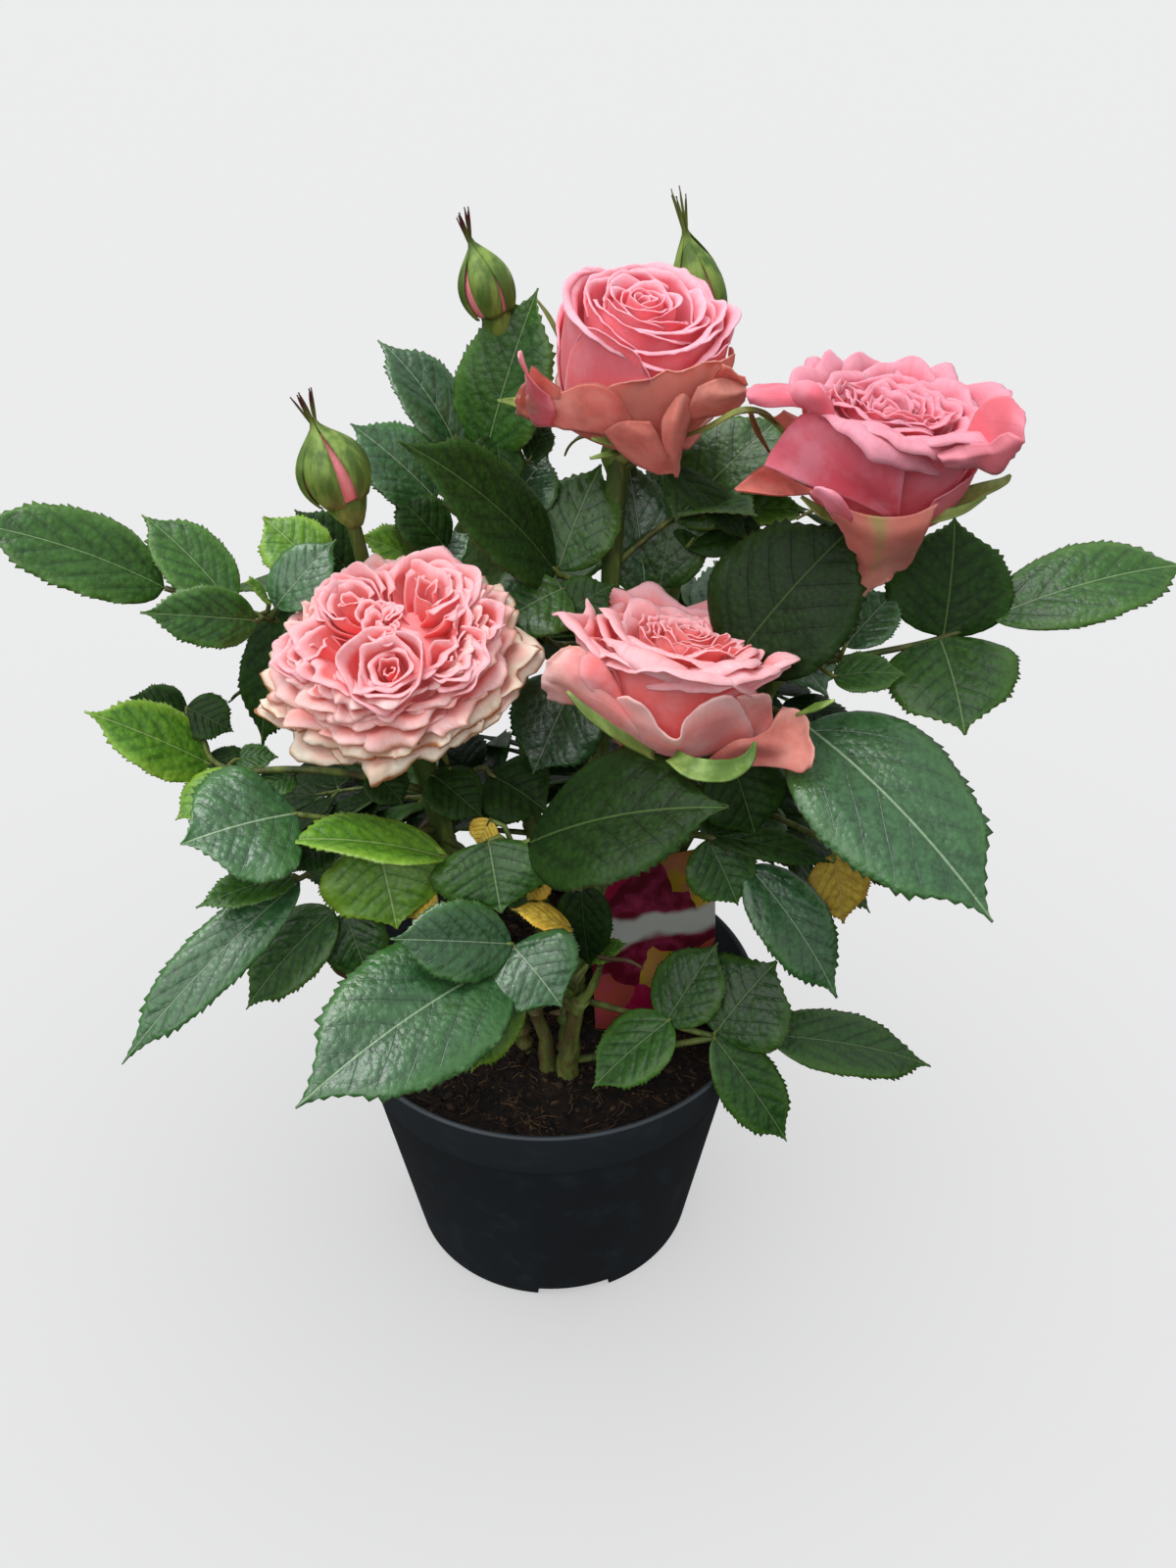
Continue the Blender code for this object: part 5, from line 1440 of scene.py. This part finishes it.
def make_bud(name, node, foot, axis, tall, wide, seed, skins, crown_tone):
    """Closed bud: pink petals showing as slits between five sepals that end in thin points."""
    home = Home(foot, axis)
    rng = np.random.default_rng(seed)
    heart = Gather()
    steps = 18
    path = []
    radii = []
    for k in range(steps + 1):
        t = k / steps
        path.append(home.foot + home.up * (2.0 + t * tall * 0.58))
        radii.append(0.88 * wide * bud_outline(0.66 * t) + 0.05)
    heart.take(*tube(path, radii, 24), tone=0.0)
    shell_piece = Gather()
    hip = [home.foot + home.up * z for z in (-6.5, -5, -2.5, 0, 2.0, 3.4)]
    shell_piece.take(*tube(hip, [wide * r for r in (0.22, 0.34, 0.50, 0.62, 0.6, 0.4)], 18), tone=0.0)
    for k in range(5):
        turn = math.radians(72 * k + 48 + rng.uniform(-8, 8))
        grid = np.zeros((23, 9, 3))
        reach = tall * rng.uniform(0.99, 1.06)
        flare = rng.uniform(0.2, 1.0)
        for i in range(23):
            t = i / 22
            z = 1.5 + t * reach
            radius = wide * bud_outline(t) + flare * max(0, t - 0.72) * 9
            half = (0.40 + 0.185 * min(1.0, t / 0.66)) * (1 - max(0.0, (t - 0.68) / 0.32) ** 1.2) + 0.03
            for j in range(9):
                u = -1 + j / 4
                around = turn + u * half * (1 if t < 0.75 else 1 + (t - 0.75) * 1.5)
                bump_out = radius * (1 + 0.06 * (1 - u * u))
                grid[i, j] = home.place(bump_out * math.cos(around), bump_out * math.sin(around), z)
        points, faces, uvs, under = shell(grid, SEPAL_THICK)
        rise = np.clip((uvs[:, 1] - 0.66) / 0.25, 0, 1) * crown_tone
        shell_piece.take(points, faces, uvs, rise, under)
    hand_over(heart.finish(name + "_petals", skins["petals"]), "petals", node)
    hand_over(shell_piece.finish(name + "_sepals", [skins["bud"]]), "bud_skin")


# ---- pot, mix and label ---------------------------------------------------------
# radii and heights of the pot, up its outside from its base, over its rim and down its inside
POT_PROFILE = (
    (46.2, 0.8), (58.8, 72.5), (60.0, 72.9), (64.8, 90.9), (65.0, 91.9),
    (64.3, 92.5), (63.3, 92.0), (58.6, 73.9), (57.3, 71.9), (45.6, 4.2))
POT_FOOT_R = 45.4
NOTCH_FIRST = -80.5
NOTCH_SIZE = (13.5, 23.0, 7.0)
NOTCH_AT = 45.45
SLOT_SIZE = (4.5, 9.0, 20.0)
SLOT_AT = 40.75
MIX_TOP = 81.6
MIX_R = 60.2
MIX_LOW = 73.0
MIX_LOW_R = 56.6
CRUMBS = 2600
HEAPED_CRUMBS = 90
FIBRES = 420


def made_here():
    """The object that the last operator made or changed."""
    return bpy.context.view_layer.objects.active


def cut_box(target, size, reach, turn, rounded):
    """Takes a box with rounded edges out of the pot's foot."""
    bpy.ops.object.select_all(action="DESELECT")
    bpy.ops.mesh.primitive_cube_add(
        size=MM, location=(reach * math.cos(turn) * MM, reach * math.sin(turn) * MM, 0),
        rotation=(0, 0, turn))
    tool = made_here()
    tool.scale = size
    bpy.ops.object.transform_apply(location=True, rotation=True, scale=True)
    soften = tool.modifiers.new("rounded", "BEVEL")
    soften.width = rounded * MM
    soften.segments = 3
    bpy.ops.object.modifier_apply(modifier="rounded")
    bpy.context.view_layer.objects.active = target
    change = target.modifiers.new("cut", "BOOLEAN")
    change.operation = "DIFFERENCE"
    change.object = tool
    bpy.ops.object.modifier_apply(modifier="cut")
    bpy.data.objects.remove(tool)


def make_pot(skin):
    """Round pot drawn up from its profile, with four drain notches and slots round its foot."""
    bpy.ops.object.select_all(action="DESELECT")
    bpy.ops.mesh.primitive_circle_add(vertices=160, radius=POT_FOOT_R * MM, fill_type="NGON")
    pot = made_here()
    bpy.ops.object.mode_set(mode="EDIT")
    bpy.ops.mesh.select_all(action="SELECT")
    radius = POT_FOOT_R
    height = 0.0
    for wide, high in POT_PROFILE:
        bpy.ops.mesh.extrude_region_move(TRANSFORM_OT_translate={"value": (0, 0, (high - height) * MM)})
        bpy.ops.transform.resize(value=(wide / radius, wide / radius, 1), center_override=(0, 0, high * MM))
        radius = wide
        height = high
    bpy.ops.mesh.select_all(action="SELECT")
    bpy.ops.mesh.normals_make_consistent(inside=False)
    bpy.ops.object.mode_set(mode="OBJECT")
    for n in range(4):
        turn = math.radians(NOTCH_FIRST + 90 * n)
        cut_box(pot, NOTCH_SIZE, NOTCH_AT, turn, 0.8)
        cut_box(pot, SLOT_SIZE, SLOT_AT, turn, 0.8)
    bpy.ops.object.select_all(action="DESELECT")
    pot.select_set(True)
    bpy.context.view_layer.objects.active = pot
    soften = pot.modifiers.new("edges", "BEVEL")
    soften.width = 0.3 * MM
    soften.segments = 2
    soften.limit_method = "ANGLE"
    soften.angle_limit = math.radians(40)
    bpy.ops.object.modifier_apply(modifier="edges")
    bpy.ops.object.shade_smooth_by_angle(angle=math.radians(34))
    pot.name = "pot_shell"
    pot.data.materials.clear()
    pot.data.materials.append(skin)
    hand_over(pot, "pot_plastic", "pot")


def crumb(gather, place, size, rng, tone):
    """Small angular crumb of bark or peat."""
    phi = (1 + math.sqrt(5)) / 2
    corners = np.array([
        (-1, phi, 0), (1, phi, 0), (-1, -phi, 0), (1, -phi, 0), (0, -1, phi), (0, 1, phi),
        (0, -1, -phi), (0, 1, -phi), (phi, 0, -1), (phi, 0, 1), (-phi, 0, -1), (-phi, 0, 1)]) / 1.9
    faces = (
        (0, 11, 5), (0, 5, 1), (0, 1, 7), (0, 7, 10), (0, 10, 11), (1, 5, 9), (5, 11, 4), (11, 10, 2),
        (10, 7, 6), (7, 1, 8), (3, 9, 4), (3, 4, 2), (3, 2, 6), (3, 6, 8), (3, 8, 9), (4, 9, 5),
        (2, 4, 11), (6, 2, 10), (8, 6, 7), (9, 8, 1))
    stretch = size * rng.uniform(0.45, 1.3, 3) * (1, 1, 0.7)
    points = corners * stretch * rng.uniform(0.6, 1.3, (12, 1))
    turn = rng.uniform(0, math.pi)
    spin = np.array(((math.cos(turn), -math.sin(turn), 0), (math.sin(turn), math.cos(turn), 0), (0, 0, 1)))
    gather.take(points @ spin.T + place, faces, tone=tone)


def polar(reach, turn):
    """Place at a distance from the pot's axis, turn in radians."""
    return reach * math.cos(turn), reach * math.sin(turn)


def mix_height(x, y):
    """Height of the rough top of the mix at a place."""
    reach = math.hypot(x, y) / MIX_R
    lumps = 1.5 * noise.noise(Vector((x * 0.07, y * 0.07, 1.0))) + 0.9 * noise.noise(
        Vector((x * 0.22, y * 0.22, 4.0)))
    grit = 0.8 * noise.noise(Vector((x * 0.6, y * 0.6, 9.0)))
    return MIX_TOP + 0.6 + lumps * (1 - 0.5 * reach ** 4) + grit


def make_mix(skin):
    """Crumbly potting mix with bark crumbs and pale fibres lying on it."""
    gather = Gather()
    rings = 44
    around = 150
    turns = [2 * math.pi * k / around for k in range(around)]
    points = [(0, 0, mix_height(0, 0))]
    for ring in range(1, rings + 1):
        radius = MIX_R * ring / rings
        for turn in turns:
            x, y = polar(radius, turn)
            points.append((x, y, mix_height(x, y)))
    points.extend((*polar(MIX_LOW_R, turn), MIX_LOW) for turn in turns)
    points.append((0, 0, MIX_LOW))
    faces = [(0, 1 + k, 1 + (k + 1) % around) for k in range(around)]
    for ring in range(rings):
        a = 1 + ring * around
        b = a + around
        faces.extend((a + k, b + k, b + (k + 1) % around, a + (k + 1) % around) for k in range(around))
    low = 1 + rings * around
    faces.extend((low + (k + 1) % around, low + k, low + around) for k in range(around))
    gather.take(points, faces)
    rng = np.random.default_rng(5)
    for _ in range(CRUMBS):
        x, y = polar(MIX_R * 0.97 * math.sqrt(rng.random()), rng.uniform(0, 2 * math.pi))
        size = rng.uniform(0.3, 0.9) if rng.random() < 0.93 else rng.uniform(1.0, 1.9)
        crumb(gather, (x, y, mix_height(x, y) + size * 0.15), size, rng, 0.55 * rng.random() ** 4)
    for line in LINES.values():
        for _ in range(HEAPED_CRUMBS):
            turn = rng.uniform(0, 2 * math.pi)
            reach = rng.uniform(2.0, 6.5)
            x, y = line[0][:2] + polar(reach, turn)
            heap = 2.4 * max(0.0, 1 - (reach - 2.0) / 3.5)
            spot = (x, y, mix_height(x, y) + heap * rng.random())
            crumb(gather, spot, rng.uniform(0.5, 1.3), rng, 0.15 * rng.random())
    for _ in range(FIBRES):
        radius = MIX_R * 0.93 * math.sqrt(rng.random())
        turn = rng.uniform(0, 2 * math.pi)
        x, y = polar(radius, turn)
        way = rng.uniform(0, math.pi)
        length = rng.uniform(2, 8)
        path = []
        for k in range(5):
            s = (k - 2) / 2 * length / 2
            px = x + s * math.cos(way) + 0.6 * math.sin(k * 2.0 + turn)
            py = y + s * math.sin(way)
            path.append((px, py, mix_height(px, py) + 0.5 + 0.5 * math.sin(k * 1.4 + way)))
        if max(math.hypot(p[0], p[1]) for p in path) < MIX_R * 0.98:
            gather.take(*tube(path, [0.10, 0.14, 0.15, 0.12, 0.06], 5), tone=rng.uniform(0.25, 0.85))
    hand_over(gather.finish("mix_top", [skin]), "potting_mix", "potting_mix")


# ---- sprays ---------------------------------------------------------------------
# stalks that leaflets sit on, from tip to cane, as picture places with depths
STEMS = (
    ((1008, 633, 8), (963, 650, 5), (925, 660, 4), (860, 672, 2), (800, 681, 0)),
    ((168, 600, -10), (205, 611, -9), (250, 624, -8), (310, 640, -4), (372, 650, 0)),
    ((204, 742, -18), (216, 775, -22), (245, 787, -24), (290, 785, -22), (345, 788, -22)),
    ((303, 831, -45), (350, 838, -40), (398, 850, -34)),
    ((303, 898, -50), (335, 882, -46), (385, 872, -38)),
    ((346, 928, -48), (378, 905, -42), (420, 890, -34)),
    ((506, 985, -62), (522, 967, -60), (556, 980, -50), (585, 1008, -34)),
    ((541, 858, -44), (524, 864, -42), (506, 876, -34)),
    ((785, 1057, -34), (735, 1058, -35), (672, 1042, -32), (600, 1022, -24)),
    ((765, 883, -35), (742, 866, -35), (722, 854, -34), (686, 850, -28)),
    ((820, 740, -18), (796, 727, -14), (764, 712, -6)),
    ((783, 1057, -34), (756, 1054, -34), (735, 1058, -35)),
)
# compound leaves grown in each mass: how many, leaflet length, how far from its middle, greens
FILLS = {
    "foliage_back_left": (4, 40, 1.0, ("deep", "mid")),
    "foliage_back": (4, 40, 1.0, ("deep", "mid")),
    "foliage_back_right": (4, 40, 1.0, ("deep", "blue")),
    "foliage_back_low_left": (3, 38, 1.0, ("deep", "mid")),
    "foliage_back_low": (3, 38, 1.0, ("deep", "mid")),
    "foliage_back_low_right": (3, 38, 1.0, ("deep", "mid")),
    "foliage_left_inner": (2, 34, 0.6, ("deep", "mid")),
    "foliage_right_inner": (2, 34, 0.6, ("deep", "mid")),
    "foliage_top_right": (1, 34, 0.5, ("mid", "blue")),
    "foliage_top_left": (1, 30, 0.4, ("deep", "mid")),
}
# more compound leaves high on the back, behind the blooms: mass, place, leaflet length, green
BACK_LEAVES = (
    ("foliage_top_left", (640, 400, 78), 25, "mid"), ("foliage_top_right", (880, 470, 52), 26, "deep"),
    ("foliage_back_left", (400, 640, 46), 26, "mid"), ("foliage_back_right", (700, 640, 62), 26, "deep"),
    ("foliage_back", (660, 380, 92), 24, "fresh"), ("foliage_back_right", (800, 560, 78), 26, "mid"),
)


def mass_ends(node):
    """Where a mass leaves the canes, and its furthest tip, in millimetres."""
    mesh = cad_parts[node].data
    coords = np.zeros(len(mesh.vertices) * 3)
    mesh.vertices.foreach_get("co", coords)
    points = coords.reshape(-1, 3) / MM
    canes = np.concatenate(list(LINES.values()))
    gaps = np.linalg.norm(points[:, None] - canes[None], axis=2).min(axis=1)
    near = points[int(np.argmin(gaps))]
    far = points[int(np.argmax(np.linalg.norm(points - near, axis=1)))]
    return near, far


def stalk_to_cane(stalks, line, wide=1.0):
    """Adds a stalk along a line and on to the cane that bears it."""
    foot, grow = nearest_cane(line[-1])
    last = line[-1]
    reach = np.linalg.norm(last - foot)
    ahead = unit(last - line[-2]) if len(line) > 1 else unit(foot - last)
    joined = list(line) + [last + (foot - last) * 0.5 + ahead * 0.12 * reach, foot]
    path = [spline(joined, k / 24) for k in range(25)]
    stalks.take(*tube(path, [wide * (0.75 + 0.45 * k / 24) for k in range(25)], 8), tone=0.12)
    return np.array(path)


# cut stubs at the foot, a dry twig and a dry tendril over the rim: places, radii, how brown
STUBS = (
    (((577, 1106, -29), (579, 1086, -29), (583, 1060, -29), (588, 1034, -30), (592, 1020, -30)),
     (3.6, 3.4, 2.5, 2.3, 3.0), 0.2),
    (((561, 1096, -27), (559, 1078, -27), (556, 1058, -27), (549, 1040, -27), (546, 1030, -27)),
     (3.0, 2.7, 2.2, 1.9, 2.5), 0.35),
    (((588, 1034, -31), (572, 1018, -33), (556, 1010, -34)), (1.4, 1.1, 0.9), 0.3),
    (((592, 1024, -30), (606, 1004, -31), (612, 986, -31)), (1.6, 1.3, 0.9), 0.1),
    (((596, 968, -34), (618, 978, -36), (640, 980, -38), (656, 988, -39)), (0.9, 0.7, 0.6, 0.45), 1.0),
    (((372, 1022, 6), (364, 1004, 2), (352, 996, -2), (342, 990, -4), (337, 982, -5)),
     (1.0, 0.9, 0.8, 0.6, 0.25), 1.0),
)


def make_foliage(skins, green):
    """Every leaf, each mass's own as one piece, and the stalks that carry them."""
    stalks = Gather()
    for number, (places, radii, brown) in enumerate(STUBS):
        line = picture_line(*places)
        path = [spline(line, k / 16) for k in range(17)]
        widths = np.interp(np.linspace(0, 1, 17), np.linspace(0, 1, len(radii)), radii)
        stalks.take(*tube(path, widths, 12, 0.34, number * 2.7), tone=brown)
    gathers = {}
    lines = [stalk_to_cane(stalks, picture_line(*stem), 1.0) for stem in STEMS]
    for spray, leaflets in SPRAYS.items():
        gather = gathers.setdefault(spray, Gather())
        for number, row in enumerate(leaflets):
            leaf = Leaflet(*row)
            seed = number * 0.37 + len(spray) * 0.11
            base = at(*leaf.stalk)
            tip = at(*leaf.point)
            grid = blade(base, tip, leaf.width, leaf.roll, leaf.fold, leaf.arch, seed=seed)
            take_leaf(gather, grid, leaf.skin, leaf.tone)
            way = unit(tip - base)
            gaps = [np.linalg.norm(line - base, axis=1).min() for line in lines]
            closest = int(np.argmin(gaps))
            inside = base + way * 2.0
            if gaps[closest] < 16:
                line = lines[closest]
                joint = line[int(np.argmin(np.linalg.norm(line - base, axis=1)))]
                middle = (joint + base) / 2 - way * min(2.0, gaps[closest] * 0.3)
                stalks.take(*tube([joint, middle, base, inside], [0.75, 0.7, 0.6, 0.4], 7), tone=0.12)
            else:
                lines.append(stalk_to_cane(stalks, [inside, base, base - way * 3.0], 0.85))
    rng = np.random.default_rng(71)
    for node, (count, size, spread, greens) in FILLS.items():
        gather = gathers.setdefault(node, Gather())
        root, tip = mass_ends(node)
        axis = tip - root
        length = np.linalg.norm(axis)
        for k in range(count):
            side = unit(np.cross(axis, UP))
            offset = spread * (
                side * rng.uniform(-10, 10) + UP * (rng.uniform(-9, 9) + 4 * (k - (count - 1) / 2)))
            heading = axis * (1.0 if k == 0 else rng.uniform(0.7, 0.95)) + offset * 2.0
            reach = np.linalg.norm(heading) - size * 1.0
            begin, _ = nearest_cane(root + offset * 0.4)
            heading = root + heading - begin
            compound_leaf(
                gather, stalks, begin, heading, max(reach, 25), 2 + (k % 2), size * rng.uniform(0.85, 1.05),
                greens[k % len(greens)], rng, rng.uniform(0.08, 0.32), rng.uniform(0.75, 1.15))
    for node, place, size, skin in BACK_LEAVES:
        target = at(*place)
        begin, _ = nearest_cane(target, 0.5)
        reach = np.linalg.norm(target - begin)
        compound_leaf(
            gathers[node], stalks, begin, target - begin, max(18.0, reach - size * 0.5), 2, size, skin, rng,
            0.2, 0.95)
    for spray, gather in gathers.items():
        hand_over(gather.finish(spray + "_leaves", skins), "leaves", spray)
    hand_over(stalks.finish("leaf_stalks", [green]), "cane_skin")


# ---- scene ----------------------------------------------------------------------
def make_studio():
    """Large pale floor under a soft sky, brightest overhead; one wide lamp above, a weaker one in front."""
    bpy.ops.object.select_all(action="DESELECT")
    bpy.ops.mesh.primitive_plane_add(size=FLOOR_SIZE, location=(0, 0, -FLOOR_DROP))
    floor = made_here()
    floor.name = "studio_floor"
    floor.data.materials.append(studio_paper())
    floor.visible_diffuse = False
    floor.visible_glossy = False
    world = bpy.data.worlds.new("studio")
    bpy.context.scene.world = world
    world.use_nodes = True
    sky = world.node_tree
    rise = add(sky, SPLIT, {0: add(sky, COORDS).outputs["Generated"]}).outputs["Z"]
    # 0 straight down, 0.5 on the horizon, 1 straight up
    rise = add(sky, MATH, {0: rise, 1: 0.5, 2: 0.5}, operation="MULTIPLY_ADD")
    ramp = add(sky, "ShaderNodeValToRGB", {"Fac": rise})
    for stop, shade in zip(ramp.color_ramp.elements, (SKY_LOW, SKY_HIGH)):
        stop.color = linear(shade)
    ramp.color_ramp.elements[0].position = 0.46
    ramp.color_ramp.elements.new(0.50).color = linear(SKY_LEVEL)
    feed(sky, sky.nodes["Background"], {"Strength": SKY, "Color": ramp})
    # the lamps leave the floor out, so that it stays even
    unshaded = bpy.data.collections.new("floor_without_lamps")
    unshaded.objects.link(floor)
    unshaded.collection_objects[0].light_linking.link_state = "EXCLUDE"
    for name, turn, wide, power in (
            ("key", (math.radians(-6), math.radians(-16), 0), 34, KEY),
            ("front", (math.radians(38), math.radians(-24), 0), 60, FRONT)):
        lamp = bpy.data.lights.new(name, "SUN")
        lamp.angle = math.radians(wide)
        lamp.energy = power
        holder = bpy.data.objects.new(name, lamp)
        holder.rotation_euler = turn
        holder.light_linking.receiver_collection = unshaded
        bpy.context.scene.collection.objects.link(holder)
    bpy.context.scene.view_settings.view_transform = "Standard"


def main():
    """Camera, light, materials, and every piece of the plant."""
    make_camera()
    make_studio()
    greens = [
        leaf_skin("waxy_leaf_deep", "10200A", "224012", "56723C", "5F7A48", "30501A", 0.44, 0.14),
        leaf_skin("waxy_leaf_mid", "183810", "35651F", "88AA6C", "74905E", "588230", 0.36, 0.42),
        leaf_skin("waxy_leaf_blue", "1C3F20", "3A6A3C", "A4C298", "76946C", "487E34", 0.30, 0.75),
        leaf_skin("waxy_leaf_fresh", "326016", "619426", "AFC97C", "8CA45E", "9CC23E", 0.36, 0.45),
        leaf_skin("fading_leaf", "B08A2C", "E6CC4C", "E9DC9A", "C9B060", "C88A30", 0.5, 0.3),
    ]
    petals = [
        petal_skin("fresh_petal", "E84642", "F07C7B", "FAB8BE", "C98A6A", "E96E6A", 0.5),
        petal_skin("dusky_petal", "D05A54", "E4857A", "EFAEA0", "8E3E2C", "CC8270", 0.9),
        petal_skin("cream_petal", "EC8A80", "F0B2A6", "F0DCC8", "A0683C", "E2B09A", 1.0),
        petal_skin("blush_petal", "EC726C", "F29592", "FAC8C6", "BD8058", "EA9288", 0.7),
    ]
    rosy = petal_skin("rosy_petal", "E4424E", "F27886", "FDB6C4", "B8705A", "E87074", 0.6)
    # a deeper copy of the petal skin for the right bloom, whose top faces the key lamp: partly the bloom's own
    # deeper rose, partly painted shade
    shaded_deep_rose = petal_skin("shaded_deep_rose_petal", "D23846", "DE6676", "E69AAA", "A45A4C", "D66A72", 0.7)
    leafy = green_skin("rose_sepal", "58772F", "94B060", "7A4A2E")
    green = green_skin("rose_cane", "3E5420", "7C9042", "5E4630", 0.5, 3.0, 0.7)
    bud = green_skin("bud_sepal", "4E6A28", "86A048", "4A161C", 0.5, 2.4)
    make_pot(moulded_plastic())
    make_mix(moist_peat())
    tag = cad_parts["plant_tag"]
    tag.data.materials.clear()
    tag.data.materials.append(printed_card())
    make_canes(green)
    make_bloom_top([rosy] + petals[1:], leafy)
    make_bloom_right([shaded_deep_rose] + petals[1:], leafy)
    make_bloom_front(petals, leafy)
    make_bloom_left(petals, leafy)
    skins = {"petals": petals, "bud": bud}
    make_bud("bud_left", "bud_left", (-49, 0, 253), (-0.30, 0, 1), 28, 8.7, 3, skins, 0.95)
    make_bud("bud_back", "bud_back", (-12, 45, 286.5), (-0.33, 0, 1), 26, 7.0, 5, skins, 1.0)
    make_bud("bud_back_right", "bud_back_right", (47, 80, 273), (-0.28, 0, 1), 37, 7.2, 8, skins, 0.5)
    make_foliage(greens, green)


main()
